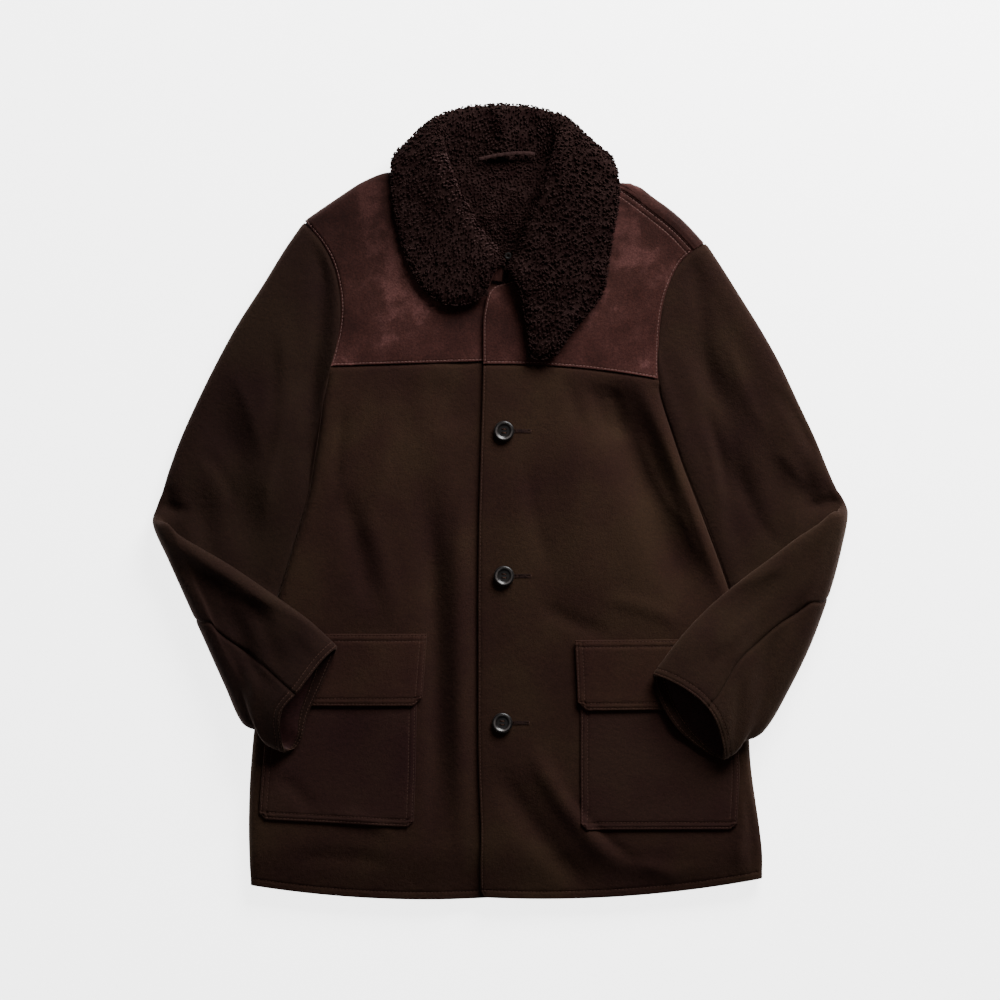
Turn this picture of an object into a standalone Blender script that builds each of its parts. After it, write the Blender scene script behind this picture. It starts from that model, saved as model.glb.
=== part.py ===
"""A donkey coat laid flat on its back, fastened, with its forearms folded over the pockets.

Units are metres in the scene. The tables below give millimetres: MM turns them into metres and
ORIGIN moves the middle of the outline to the scene's origin.
X runs to the wearer's left, Y towards the collar and Z up from the surface that the coat lies on.
Names end in l or r for the wearer's left (+X) and right (-X).
"""

import math

import bmesh
import bpy
import numpy as np

MM = 0.001
ORIGIN = (0.8, -1.3, 0.0)   # the middle of the coat's outline in the tables' millimetres

# ---- driving sizes, in millimetres ----
WOOL = 2.4              # melton wall
SUEDE = 1.5             # yoke and under collar wall
LINING = 1.2            # cuff lining wall
NECK_FLEECE = 5.5       # fleece lining behind the neck
COLLAR_FLEECE = 8.5     # fleece of the upper collar, pile included
SEAM = 0.3              # space left between two sewn pieces
BODY_HEIGHT = 18.0      # top of the fronts where the body lies flat
SIDE_ROLL = 10.0        # how far in from the side the cloth starts to roll down
SIDE_SEAM = 9.0         # height of the side seam
LAP_DROP = 3.2          # how much lower the right front lies under the left one
LAP_RISE = 1.4          # how much higher the left front lies over the right one
FALL_LIFT = 11.2        # how much the collar's fall raises the back yoke that lies on it
COLLAR_ROLL = 4.0       # inner radius of the collar's fold
FOLD_RADIUS = 9.0       # bend radius of the folded sleeve's mid line
BUTTON_RADIUS = 11.3
BUTTON_POINTS = ((5.0, 75.9), (5.0, -83.6), (3.0, -245.3))
NECK_BUTTON = (9.5, 269.0)

# ---- colours (linear) ----
FINISHES = {
    "wool_melton": ((0.022, 0.014, 0.010), 0.95),
    "suede": ((0.055, 0.024, 0.020), 0.9),
    "fleece": ((0.020, 0.010, 0.011), 0.95),
    "lining_twill": ((0.040, 0.018, 0.018), 0.6),
    "button_horn": ((0.008, 0.007, 0.007), 0.25),
}


def table(names, rows):
    """A table of numbers as one array for each named column."""
    data = np.array(rows, float)
    return {name: data[:, k] for k, name in enumerate(names.split())}


# The left front (on top), a row for each level from the yoke seam to the hem. y_edge and y_side are
# the level at the opening and at the side, bow is how far its middle lies from the straight line.
FRONT_L = table("y_edge y_side bow edge flap_in patch_in patch_out side", [
    (149.6, 133.0, 5.0, -17.9, 62, 70, 150, 176.0),    # yoke seam
    (110.0, 105.6, 2.0, -19.0, 65, 73, 156, 181.0),
    (43.0, 43.0, 0.0, -21.0, 71, 77, 176, 200.8),
    (-24.0, -24.0, 0.0, -22.7, 76, 81, 200, 226.0),
    (-101.0, -101.0, 0.0, -23.6, 80, 84.5, 229, 253.6),
    (-155.0, -153.0, 0.0, -23.6, 83, 87, 250, 266.0),  # flap top
    (-233.0, -230.0, 0.0, -23.6, 86, 89, 258, 273.5),  # flap edge
    (-295.0, -295.0, 0.0, -23.0, 85, 89, 264, 277.5),
    (-363.5, -362.5, 0.0, -20.5, 85, 89.6, 261, 287.0),  # pocket bottom
    (-400.0, -390.0, -5.0, -21.0, 85, 89.6, 262, 290.0),
    (-437.8, -417.0, -9.5, -20.5, 85, 89.6, 263, 290.0),  # hem
])

# The right front (underneath); its edge lies hidden under the left front.
FRONT_R = table("y_edge y_side bow edge flap_in patch_in patch_out side", [
    (154.0, 147.4, 0.0, 27.0, -60, -68, -163, -187.0),
    (110.0, 110.0, 0.0, 27.0, -63, -71, -170, -195.0),
    (68.0, 68.0, 0.0, 27.0, -66, -75, -180, -200.0),
    (0.0, 0.0, 0.0, 27.0, -70, -80, -192, -212.0),
    (-68.0, -68.0, 0.0, 27.0, -75, -86, -212, -232.0),
    (-147.4, -147.4, 0.0, 27.0, -79.8, -90, -238, -254.7),
    (-226.6, -226.6, 0.0, 27.0, -85.0, -91.3, -253, -267.5),
    (-297.0, -297.0, 0.0, 27.0, -85.0, -92.4, -261, -274.5),
    (-367.0, -350.5, 0.0, 27.0, -86.0, -94.6, -264.5, -276.5),
    (-402.0, -390.0, -4.0, 27.0, -86.0, -94.6, -264.0, -276.0),
    (-435.6, -424.6, -9.5, 27.0, -86.0, -94.6, -262.0, -274.5),
])
YOKE_ROW, FLAP_ROW, FLAP_EDGE_ROW, POCKET_ROW, HEM_ROW = 0, 5, 6, 8, 10

# The armhole seams from the armpit to the shoulder point.
ARMHOLE_L = table("at x y", [
    (0.0, 174.5, 133.0), (0.25, 176.0, 186.0), (0.5, 182.5, 226.0), (0.75, 199.0, 262.0),
    (1.0, 226.0, 283.8),
])
ARMHOLE_R = table("at x y", [
    (0.0, -186.0, 147.4), (0.25, -176.0, 190.0), (0.5, -175.5, 228.0), (0.75, -187.0, 270.0),
    (1.0, -214.0, 307.0),
])

# The neck seam of each front from the opening to the side of the neck, after the opening edge itself.
NECKLINE_L = table("at x y", [
    (0.0, -17.9, 149.6), (0.22, -17.0, 205.0), (0.32, -13.0, 230.0), (0.4, 2.0, 236.5),
    (0.5, 22.0, 244.0), (0.62, 43.0, 263.0), (0.76, 57.5, 291.0), (0.88, 67.5, 322.0),
    (1.0, 73.5, 352.5),
])
NECKLINE_R = table("at x y", [
    (0.0, 27.0, 154.0), (0.22, 27.0, 205.0), (0.32, 22.0, 231.0), (0.4, -6.0, 237.0),
    (0.5, -30.0, 249.0), (0.62, -50.5, 276.0), (0.76, -64.0, 310.0), (0.88, -71.0, 338.0),
    (1.0, -73.5, 354.5),
])

# The top edge of the back, from the right shoulder point round the neck to the left one. seam says
# where the shoulder seam lies: 0.5 on the edge itself, over 1 on top, that many mm further in.
BACK_TOP = table("x y out_x out_y seam", [
    (-215.0, 308.0, -0.62, 0.78, 0.5),
    (-183.0, 330.0, -0.52, 0.85, 0.5),
    (-148.0, 352.0, -0.50, 0.87, 0.5),
    (-120.0, 361.0, -0.35, 0.94, 0.5),
    (-97.0, 355.0, -0.10, 0.99, 0.5),
    (-74.0, 355.0, -0.10, 0.99, 0.5),
    (-56.0, 370.0, -0.30, 0.95, 0.0),
    (-25.0, 371.8, 0.0, 1.0, 0.0),
    (0.0, 372.0, 0.0, 1.0, 0.0),
    (27.0, 371.8, 0.0, 1.0, 0.0),
    (58.0, 370.0, 0.30, 0.95, 0.0),
    (74.0, 353.0, 0.10, 0.99, 0.5),
    (98.0, 349.0, 0.10, 0.99, 0.5),
    (122.0, 350.5, 0.35, 0.94, 0.7),
    (141.0, 350.0, 0.50, 0.87, 2.5),
    (176.0, 330.0, 0.57, 0.82, 7.0),
    (203.0, 308.0, 0.68, 0.73, 7.0),
    (226.0, 283.8, 0.80, 0.60, 7.0),
])
BACK_NECK = (5, 11)  # the columns that end at the side of the neck
SHOULDER_ROLL = 9.0

# The sleeves, a row for each level: p is the outer edge and q the inner one, in plan. arm is how
# much of the armhole's curve the level still has, and seam where the hind arm seam crosses it.
# bow_a and bow_b move the middle of the hind and fore face out, away from the shoulder, thick is
# the height at the edges and puff what the middle has more. turn is how far the sleeve has folded.
SLEEVE_COLUMNS = "px py qx qy arm seam bow_a bow_b thick puff turn"
SLEEVE_L = table(SLEEVE_COLUMNS, [
    (227.0, 283.8, 175.5, 133.0, 1.0, 0.37, 0, 0, 17.5, 0, 0),
    (244.7, 257.4, 182.2, 104.0, 0.65, 0.37, 0, 0, 17, 0, 0),
    (266.8, 222.2, 193.2, 70.0, 0.33, 0.37, 0, 0, 16.5, 0, 0),
    (288.8, 187.0, 202.8, 40.0, 0.12, 0.37, 0, 0, 16, 0, 0),
    (308.6, 151.8, 214.6, 8.0, 0, 0.37, 0, 0, 15, 0, 0),
    (328.4, 110.0, 227.7, -26.0, 0, 0.37, 0, 0, 14, 0, 0),
    (348.0, 68.2, 241.7, -65.0, 0, 0.37, 0, 0, 13.5, 0, 0),
    (362.5, 33.0, 256.2, -108.0, 0, 0.37, 0, 0, 13, 0, 0),
    (372.0, 12.0, 268.0, -160.0, 0, 0.37, 6, 6, 13, 0, 0),
    (377.4, 4.2, 280.5, -214.0, 0, 0.37, 15, 15, 13, 0, 0),
    (374.0, 0.1, 279.5, -236.0, 0, 0.37, 15, 15, 13, 0, 45),
    (370.3, -4.5, 274.5, -253.0, 0, 0.37, 15, 15, 13, 0, 90),
    (368.4, -9.2, 271.0, -260.0, 0, 0.37, 15, 15, 13, 0, 135),
    (366.8, -12.9, 268.5, -266.0, 0, 0.37, 14, 14, 13, 0, 180),
    (352.0, -25.0, 265.0, -272.0, 0, 0.38, 10, 10, 13.5, 0, 180),
    (327.0, -41.5, 262.0, -275.5, 0, 0.4, 5, 5, 14, 0, 180),
    (297.5, -64.0, 259.5, -278.0, 0, 0.43, 2, 1, 14, 1, 180),
    (266.0, -87.5, 257.0, -280.0, 0, 0.46, 1, 0, 14, 3, 180),
    (235.0, -113.0, 254.0, -282.0, 0, 0.49, 7, -3, 14, 6, 180),
    (205.0, -143.0, 250.5, -284.0, 0, 0.52, 13, -9, 14, 9, 180),
    (167.8, -191.0, 247.0, -286.0, 0, 0.55, 20, -17, 14, 13, 180),
])
SLEEVE_R = table(SLEEVE_COLUMNS, [
    (-215.0, 307.0, -187.0, 147.4, 1.0, 0.48, 0, 0, 17.5, 0, 0),
    (-236.0, 277.2, -195.6, 112.0, 0.62, 0.48, 0, 0, 17, 0, 0),
    (-261.3, 236.5, -200.2, 77.0, 0.3, 0.48, 0, 0, 16.5, 0, 0),
    (-287.7, 195.8, -206.3, 38.5, 0.1, 0.48, 0, 0, 15.5, 0, 0),
    (-309.7, 156.2, -213.1, 0.0, 0, 0.48, 0, 0, 15, 0, 0),
    (-331.7, 112.2, -222.8, -33.0, 0, 0.48, 0, 0, 14, 0, 0),
    (-351.5, 68.2, -235.8, -77.0, 0, 0.48, 0, 0, 13.5, 0, 0),
    (-365.5, 30.0, -250.6, -128.0, 0, 0.48, 0, 0, 13, 0, 0),
    (-371.5, 10.0, -261.5, -178.0, 0, 0.48, 0, 0, 13, 0, 0),
    (-377.9, -7.4, -272.3, -228.8, 0, 0.48, 0, 0, 13, 0, 0),
    (-374.2, -11.8, -271.5, -236.0, 0, 0.48, 0, 0, 13, 0, 45),
    (-370.3, -16.2, -268.5, -243.0, 0, 0.48, 0, 0, 13, 0, 90),
    (-368.2, -20.7, -266.0, -249.0, 0, 0.48, 0, 0, 13, 0, 135),
    (-366.6, -24.4, -264.5, -254.5, 0, 0.48, 0, 0, 13, 0, 180),
    (-354.0, -37.0, -263.0, -260.5, 0, 0.48, 0, 0, 13.5, 0, 180),
    (-329.5, -52.0, -260.0, -265.5, 0, 0.485, 0, 0, 14, 0, 180),
    (-298.7, -70.0, -257.0, -268.5, 0, 0.49, 0, 0, 14, 1, 180),
    (-267.9, -90.5, -253.0, -271.0, 0, 0.5, 0, 0, 14, 3, 180),
    (-238.2, -111.0, -248.0, -273.5, 0, 0.51, 3, -1, 14, 6, 180),
    (-210.0, -131.0, -242.0, -276.0, 0, 0.515, 8, -2, 14, 9, 180),
    (-177.7, -160.5, -236.0, -278.3, 0, 0.52, 14, -3, 14, 13, 180),
])

# The collar, a row for each level from the right front round the neck to the left front: its neck
# seam n, the middle c of its fold and its outer edge o, and how far the fall's middle bows out.
COLLAR_COLUMNS = "nx ny nz cx cy cz ox oy oz bow"
COLLAR = table(COLLAR_COLUMNS, [
    (2.6, 240.5, 17.5, 0.2, 253.5, 22.0, -14.0, 227.0, 23.0, 0),
    (-12.7, 243.5, 17.5, -10.5, 269.5, 22.5, -45.0, 214.0, 23.0, 0),
    (-34.7, 262.0, 18.0, -31.4, 294.8, 23.5, -77.0, 227.0, 23.0, 0),
    (-52.3, 292.0, 20.0, -44.6, 319.0, 26.0, -99.5, 263.0, 23.0, 0),
    (-64.4, 322.3, 23.0, -56.7, 341.0, 29.5, -111.5, 305.0, 23.5, 0),
    (-71.0, 344.3, 24.5, -65.5, 365.2, 31.0, -116.5, 337.0, 24.0, 0),
    (-73.0, 359.0, 22.5, -72.0, 388.3, 29.0, -115.5, 359.5, 23.5, 0),
    (-70.0, 368.4, 18.5, -71.0, 408.1, 22.5, -112.0, 375.5, 16.0, 0),
    (-58.0, 374.0, 14.5, -54.5, 416.9, 17.5, -88.0, 366.0, 9.0, 0),
    (-32.0, 373.6, 13.2, -30.5, 423.5, 13.8, -44.0, 349.0, 8.8, 0),
    (0.5, 373.8, 13.2, 0.5, 425.2, 13.4, 0.5, 346.0, 8.8, 0),
    (33.5, 373.6, 13.2, 32.0, 423.5, 13.8, 46.0, 349.0, 8.8, 0),
    (60.0, 373.0, 14.5, 56.0, 416.9, 17.5, 91.0, 362.0, 9.0, 0),
    (72.5, 366.5, 18.5, 73.5, 407.0, 22.5, 115.0, 373.0, 16.0, 0),
    (73.0, 357.0, 22.5, 71.0, 387.0, 29.0, 127.5, 359.0, 23.5, 0),
    (70.0, 343.0, 24.5, 65.5, 364.0, 31.0, 130.0, 336.5, 24.0, 0),
    (65.0, 322.0, 23.0, 56.0, 340.0, 29.5, 124.0, 296.0, 24.0, 0),
    (55.5, 294.0, 20.5, 46.0, 313.0, 27.0, 118.0, 262.0, 24.0, 0),
    (42.5, 268.5, 19.5, 34.5, 287.0, 26.0, 111.0, 226.0, 24.5, 0),
    (26.5, 251.5, 19.5, 27.0, 264.0, 25.6, 80.0, 188.0, 24.8, 0),
    (18.0, 246.0, 19.5, 19.0, 255.0, 25.2, 56.0, 157.0, 24.8, -2),
    (9.8, 241.5, 19.5, 12.0, 247.8, 25.0, 32.0, 158.5, 24.6, -4),
])

# The largest folds of the body, fronts first: each is a soft line from 0 to 1 whose middle bends
# sideways, with its width and how much it rises (a trough falls).
FOLD_COLUMNS = "x0 y0 x1 y1 bend width rise"
BODY_FOLDS = table(FOLD_COLUMNS, [
    (-86, 60, -66, -400, 8, 16, -7.0),
    (-46, 90, -42, -420, 0, 14, 4.5),
    (-66, 146, -50, 70, 0, 20, -2.5),
    (-130, 130, -128, -330, -6, 34, 3.0),
    (-176, 20, -140, -128, 4, 13, -4.0),
    (-150, 0, -112, -150, 4, 12, 2.0),
    (118, 158, 228, -142, -5, 25, -12.0),
    (146, 150, 254, -124, 2, 9, 5.0),
    (96, 140, 128, 60, 0, 12, -3.0),
    (70, 110, 92, -150, 8, 30, 4.0),
    (30, -262, 140, -412, -10, 12, 6.0),
    (-8, -284, 108, -436, -10, 15, -5.0),
    (14, 90, 22, -230, 6, 22, 1.5),
    (281, -290, 281, -430, 0, 7, -4.0),
])
UPPER_FOLDS_L = table(FOLD_COLUMNS, [
    (200, 222, 276, -80, 14, 11, -6.5),
    (284, 22, 400, -20, 2, 10, -6.0),
    (292, 140, 340, 10, 4, 14, 2.0),
])
UPPER_FOLDS_R = table(FOLD_COLUMNS, [
    (-216, 236, -222, -20, 12, 13, -6.0),
    (-306, 150, -256, -64, -14, 13, -6.0),
    (-270, 180, -246, -50, -4, 10, 3.0),
    (-402, 10, -300, -34, 2, 10, -6.0),
])
FOREARM_FOLDS_L = table(FOLD_COLUMNS, [
    (256, -100, 340, -134, 3, 9, -6.0),
    (340, -70, 262, -180, 0, 16, 2.0),
])
FOREARM_FOLDS_R = table(FOLD_COLUMNS, [
    (-372, -76, -206, -196, -4, 20, -4.0),
    (-360, -44, -188, -152, -2, 9, 3.0),
])


# ---- curves and shape functions ----

def smooth_step(value):
    """0 below 0, 1 above 1 and a soft rise between."""
    t = np.clip(value, 0.0, 1.0)
    return t * t * (3.0 - 2.0 * t)


def smooth_curve(at, stations, values):
    """Points of a smooth curve that passes through a table's values."""
    at = np.atleast_1d(np.asarray(at, float))
    stations = np.asarray(stations, float)
    values = np.asarray(values, float)
    slopes = np.gradient(values, stations, axis=0)
    k = np.clip(np.searchsorted(stations, at, side="right") - 1, 0, len(stations) - 2)
    width = stations[k + 1] - stations[k]
    t = (at - stations[k]) / width
    h00 = 2 * t**3 - 3 * t**2 + 1
    h10 = (t**3 - 2 * t**2 + t) * width
    h01 = 3 * t**2 - 2 * t**3
    h11 = (t**3 - t**2) * width
    return h00 * values[k] + h10 * slopes[k] + h01 * values[k + 1] + h11 * slopes[k + 1]


def resample(rows, at):
    """Every column of a table, read smoothly at row positions such as 2.5."""
    count = len(next(iter(rows.values())))
    return {name: smooth_curve(at, range(count), column) for name, column in rows.items()}


def fold_height(folds, x, y):
    """The height that a table of folds adds at a place."""
    total = np.zeros(np.broadcast(x, y).shape)
    for x0, y0, x1, y1, bend, width, rise in zip(*folds.values()):
        length = math.hypot(x1 - x0, y1 - y0)
        ux = (x1 - x0) / length
        uy = (y1 - y0) / length
        along = ((x - x0) * ux + (y - y0) * uy) / length
        across = -(x - x0) * uy + (y - y0) * ux
        across = across - bend * 4.0 * along * (1.0 - along)
        ends = smooth_step(along / 0.3) * smooth_step((1.0 - along) / 0.3)
        total = total + rise * ends * np.exp(-(across / width) ** 2)
    return total


def body_top(x, y):
    """Height of the front of the coat where it lies as one layer."""
    hem = -6.0 * smooth_step((-380.0 - y) / 60.0)
    neck = 4.2 * smooth_step((y - 225.0) / 90.0) * smooth_step((165.0 - np.abs(x)) / 70.0)
    below_yoke = smooth_step((150.0 - y) / 40.0)
    return BODY_HEIGHT + hem + neck + below_yoke * fold_height(BODY_FOLDS, x, y)


def back_lift(x, y):
    """How high the back yoke is raised by the collar's fall, which lies under it."""
    return FALL_LIFT * smooth_step((y - 250.0) / 75.0) * smooth_step((172.0 - np.abs(x)) / 55.0)


def left_top(x, y):
    """Top of the left front, which laps over the right one."""
    return body_top(x, y) + LAP_RISE * smooth_step((60.0 - x) / 60.0)


def right_top(x, y):
    """Top of the right front, which runs under the left one."""
    return body_top(x, y) - LAP_DROP * smooth_step((x + 72.0) / 42.0)


# ---- meshes ----

def finish(name):
    """The material of one of the coat's finishes, made once."""
    found = bpy.data.materials.get(name)
    if found:
        return found
    colour, roughness = FINISHES[name]
    material = bpy.data.materials.new(name)
    material.use_nodes = True
    shader = material.node_tree.nodes["Principled BSDF"]
    shader.inputs["Base Color"].default_value = (*colour, 1.0)
    shader.inputs["Roughness"].default_value = roughness
    shader.inputs["Metallic"].default_value = 0.0
    return material


def add_object(name, material, points, faces):
    """An object from points in millimetres and its faces, which all point out."""
    mesh = bpy.data.meshes.new(name)
    mesh.from_pydata(((points - np.array(ORIGIN)) * MM).tolist(), [], faces)
    work = bmesh.new()
    work.from_mesh(mesh)
    bmesh.ops.recalc_face_normals(work, faces=work.faces)
    if work.calc_volume(signed=True) < 0:
        bmesh.ops.reverse_faces(work, faces=work.faces)
    work.to_mesh(mesh)
    work.free()
    mesh.shade_smooth()
    mesh.set_sharp_from_angle(angle=math.radians(50))
    mesh.materials.append(finish(material))
    thing = bpy.data.objects.new(name, mesh)
    bpy.context.collection.objects.link(thing)
    return thing


def add_wall(name, material, outer, inner, ring=False):
    """A closed wall between two grids of points. ring joins each row's last point to its first."""
    rows, cols = outer.shape[:2]
    points = np.concatenate([outer.reshape(-1, 3), inner.reshape(-1, 3)])
    behind = rows * cols
    spans = cols if ring else cols - 1

    def at(i, j):
        return i * cols + j % cols

    faces = []
    for i in range(rows - 1):
        for j in range(spans):
            a, b, c, d = at(i, j), at(i, j + 1), at(i + 1, j + 1), at(i + 1, j)
            faces += [(a, b, c), (a, c, d)]
            faces += [(behind + a, behind + c, behind + b), (behind + a, behind + d, behind + c)]
    rims = [[at(0, j) for j in range(spans + 1)], [at(rows - 1, j) for j in range(spans + 1)]]
    if not ring:
        rims += [[at(i, 0) for i in range(rows)], [at(i, cols - 1) for i in range(rows)]]
    for rim in rims:
        for a, b in zip(rim, rim[1:]):
            faces += [(a, b, behind + b), (a, behind + b, behind + a)]
    return add_object(name, material, points, faces)


# ---- fronts, pockets and back body ----

FRONT_LINES = ("edge", "flap_in", "patch_in", "patch_out")
FRONT_SPANS = (4, 1, 6, 1)  # spans of cloth from each line to the next, then to the side roll
ROLL_STEPS = 3
PATCH_COLUMNS = (5, 11)     # grid columns of the patch pocket's edges
FLAP_COLUMNS = (4, 11)
ROWS_PER_LEVEL = 2
ROLL_START = 0.9            # the roll is whole this many levels below the armpit
ARMPIT_GAP = 0.6
BACK_SPANS = 8
HEM_SAG = (5.0, 12.0)       # how far the back's last two levels bow down at their middle


def front_level_y(level, x):
    """Level of a place on a row of a front's table, from its ends and its bow."""
    share = (x - level["edge"][:, None]) / (level["side"] - level["edge"])[:, None]
    straight = level["y_edge"][:, None] * (1 - share) + level["y_side"][:, None] * share
    return straight + level["bow"][:, None] * 4 * share * (1 - share)


def side_reach(depth, step, rolled):
    """How far a roll column lies out from the roll's start, flat at the armpit."""
    turned = (SIDE_ROLL - depth) * math.sin(math.pi / 2 * step / ROLL_STEPS)
    return turned * rolled + (SIDE_ROLL - ARMPIT_GAP) * step / ROLL_STEPS * (1 - rolled)


def front_grid(rows, top, depth):
    """A front's surface, depth millimetres under its outer face, as a grid of levels by columns."""
    at = np.arange(0, HEM_ROW + 0.001, 1.0 / ROWS_PER_LEVEL)
    level = resample(rows, at)
    sign = 1.0 if rows["side"][0] > 0 else -1.0
    rolled = smooth_step(at / ROLL_START)
    roll_start = level["side"] - sign * SIDE_ROLL
    lines = [level[name] for name in FRONT_LINES] + [roll_start]
    columns = []
    for start, end, spans in zip(lines, lines[1:], FRONT_SPANS):
        columns += [start + (end - start) * k / spans for k in range(spans)]
    columns.append(roll_start)
    flat = len(columns)
    columns += [roll_start + sign * side_reach(depth, k, rolled) for k in range(1, ROLL_STEPS + 1)]
    x = np.array(columns).T
    y = front_level_y(level, x)
    z = top(x, y) - depth
    for k in range(1, ROLL_STEPS + 1):
        fallen = 1 - math.cos(math.pi / 2 * k / ROLL_STEPS)
        edge = z[:, flat - 1]
        z[:, flat - 1 + k] = edge - (edge - SIDE_SEAM - SEAM / 2) * fallen * rolled
    return np.stack([x, y, z], axis=-1)


def add_front(name, rows, top):
    return add_wall(name, "wool_melton", front_grid(rows, top, 0.0), front_grid(rows, top, WOOL))


def add_pocket(side, rows, top):
    """The patch pocket and its flap, made from the front's own points moved out."""
    levels = slice(FLAP_ROW * ROWS_PER_LEVEL, POCKET_ROW * ROWS_PER_LEVEL + 1)
    patch = front_grid(rows, top, 0.0)[levels, PATCH_COLUMNS[0]:PATCH_COLUMNS[1] + 1]
    up = np.array([0.0, 0.0, 1.0])
    patch_under = patch + up * SEAM
    patch_top = patch + up * (SEAM + WOOL)
    add_wall("pocket_" + side, "wool_melton", patch_top, patch_under)
    levels = slice(FLAP_ROW * ROWS_PER_LEVEL, FLAP_EDGE_ROW * ROWS_PER_LEVEL + 1)
    flap = front_grid(rows, top, 0.0)[levels, FLAP_COLUMNS[0]:FLAP_COLUMNS[1] + 1]
    flap_under = flap + up * (SEAM * 2 + WOOL)
    flap_top = flap_under + up * WOOL
    add_wall("pocket_flap_" + side, "wool_melton", flap_top, flap_under)


def add_back_panel():
    """The back body, flat on the surface, with its sides rolled up to the side seams."""
    at = np.arange(0, HEM_ROW + 0.001, 1.0)
    left = resample(FRONT_L, at)
    right = resample(FRONT_R, at)
    rolled = smooth_step(at / ROLL_START)
    walls = []
    for depth in (0.0, WOOL):
        sides = []
        for level, sign in ((right, -1.0), (left, 1.0)):
            start = level["side"] - sign * SIDE_ROLL
            part = [np.stack([start, level["y_side"], start * 0 + depth], axis=-1)]
            for k in range(1, ROLL_STEPS + 1):
                fallen = 1 - math.cos(math.pi / 2 * k / ROLL_STEPS)
                rise = (SIDE_SEAM - SEAM / 2 - depth) * fallen * rolled
                x = start + sign * side_reach(depth, k, rolled)
                part.append(np.stack([x, level["y_side"], depth + rise], axis=-1))
            sides.append(part)
        first, last = sides[0][0], sides[1][0]
        middle = [first + (last - first) * k / BACK_SPANS for k in range(1, BACK_SPANS)]
        for k, line in enumerate(middle, 1):
            line[-2:, 1] -= np.array(HEM_SAG) * math.sin(math.pi * k / BACK_SPANS)
        grid = np.stack(sides[0][::-1] + middle + sides[1], axis=1)
        grid[0, :, 1] = back_seam_y(grid[0, :, 0]) - SEAM
        walls.append(grid)
    add_wall("back_panel", "wool_melton", walls[0], walls[1])


# ---- yokes ----

YOKE_LEVELS = 7
SHOULDER_STEPS = 4
SHOULDER_ARC = 28.0     # length of the rolled shoulder edge, from the back's start to the top


def patch(bottom, top, start, end):
    """A grid of plan points that fills the space between four curves (rows run up)."""
    rows, cols = len(start), len(bottom)
    v = np.linspace(0, 1, rows)[:, None, None]
    u = np.linspace(0, 1, cols)[None, :, None]
    across = (1 - v) * bottom[None] + v * top[None]
    upward = (1 - u) * start[:, None] + u * end[:, None]
    corners = ((1 - u) * (1 - v) * bottom[0] + u * (1 - v) * bottom[-1]
               + (1 - u) * v * top[0] + u * v * top[-1])
    return across + upward - corners


def side_curve(curve, corner, levels):
    """Points along a table's x and y, up to the place nearest to a corner."""
    fine = np.linspace(0.5, 1.0, 101)
    near = np.stack([smooth_curve(fine, curve["at"], curve[c]) for c in "xy"], axis=-1)
    stop = fine[np.argmin(np.linalg.norm(near - corner, axis=1))]
    points = np.stack([smooth_curve(levels * stop, curve["at"], curve[c]) for c in "xy"], axis=-1)
    return points + (corner - points[-1]) * levels[:, None] ** 3


def shoulder_point(k, place, depth):
    """A point of the rolled shoulder edge at column k of BACK_TOP. place runs from 0, where the
    back starts to roll up, to 1 on top, and past them it is that many millimetres further in."""
    out = np.array([BACK_TOP["out_x"][k], BACK_TOP["out_y"][k]])
    inset = np.array([BACK_TOP["x"][k], BACK_TOP["y"][k]]) - out * SHOULDER_ROLL
    low = float(back_lift(*inset))
    high = float(body_top(*inset))
    angle = math.pi * min(max(place, 0.0), 1.0)
    further = max(place - 1.0, -place, 0.0)
    plan = inset + out * ((SHOULDER_ROLL - depth) * math.sin(angle) - further)
    z = (low + high) / 2 - ((high - low) / 2 - depth) * math.cos(angle)
    return np.array([plan[0], plan[1], z])


def back_seam_y(x):
    """Level of the seam between the back body and the back yoke."""
    share = (x - ARMHOLE_R["x"][0]) / (ARMHOLE_L["x"][0] - ARMHOLE_R["x"][0])
    return ARMHOLE_R["y"][0] + share * (ARMHOLE_L["y"][0] - ARMHOLE_R["y"][0])


def back_yoke_walls():
    """The outer and inner grid of the back yoke, with the rolled rows of the shoulders."""
    count = len(BACK_TOP["x"])
    levels = np.linspace(0, 1, YOKE_LEVELS + 1)
    top = np.array([shoulder_point(k, 0.0, 0.0)[:2] for k in range(count)])
    share = (BACK_TOP["x"] - BACK_TOP["x"][0]) / (BACK_TOP["x"][-1] - BACK_TOP["x"][0])
    x = ARMHOLE_R["x"][0] + share * (ARMHOLE_L["x"][0] - ARMHOLE_R["x"][0])
    bottom = np.stack([x, back_seam_y(x)], axis=-1)
    plan = patch(bottom, top, side_curve(ARMHOLE_R, top[0], levels),
                 side_curve(ARMHOLE_L, top[-1], levels))
    walls = []
    for depth in (0.0, SUEDE):
        z = back_lift(plan[..., 0], plan[..., 1]) + depth
        grid = np.concatenate([plan, z[..., None]], axis=-1)
        rolls = []
        for step in range(1, SHOULDER_STEPS + 1):
            share = step / SHOULDER_STEPS
            row = []
            for k, seam in enumerate(BACK_TOP["seam"]):
                if seam == 0.0:
                    out = np.array([BACK_TOP["out_x"][k], BACK_TOP["out_y"][k], 0.0])
                    row.append(shoulder_point(k, 0.0, depth) + out * SHOULDER_ROLL * share)
                elif seam < 1.0:
                    row.append(shoulder_point(k, (seam - SEAM / 2 / SHOULDER_ARC) * share, depth))
                else:
                    last = step == SHOULDER_STEPS
                    place = seam - SEAM / 2 if last else step / (SHOULDER_STEPS - 1)
                    row.append(shoulder_point(k, place, depth))
            rolls.append(row)
        walls.append(np.concatenate([grid, np.array(rolls)]))
    return walls


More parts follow.
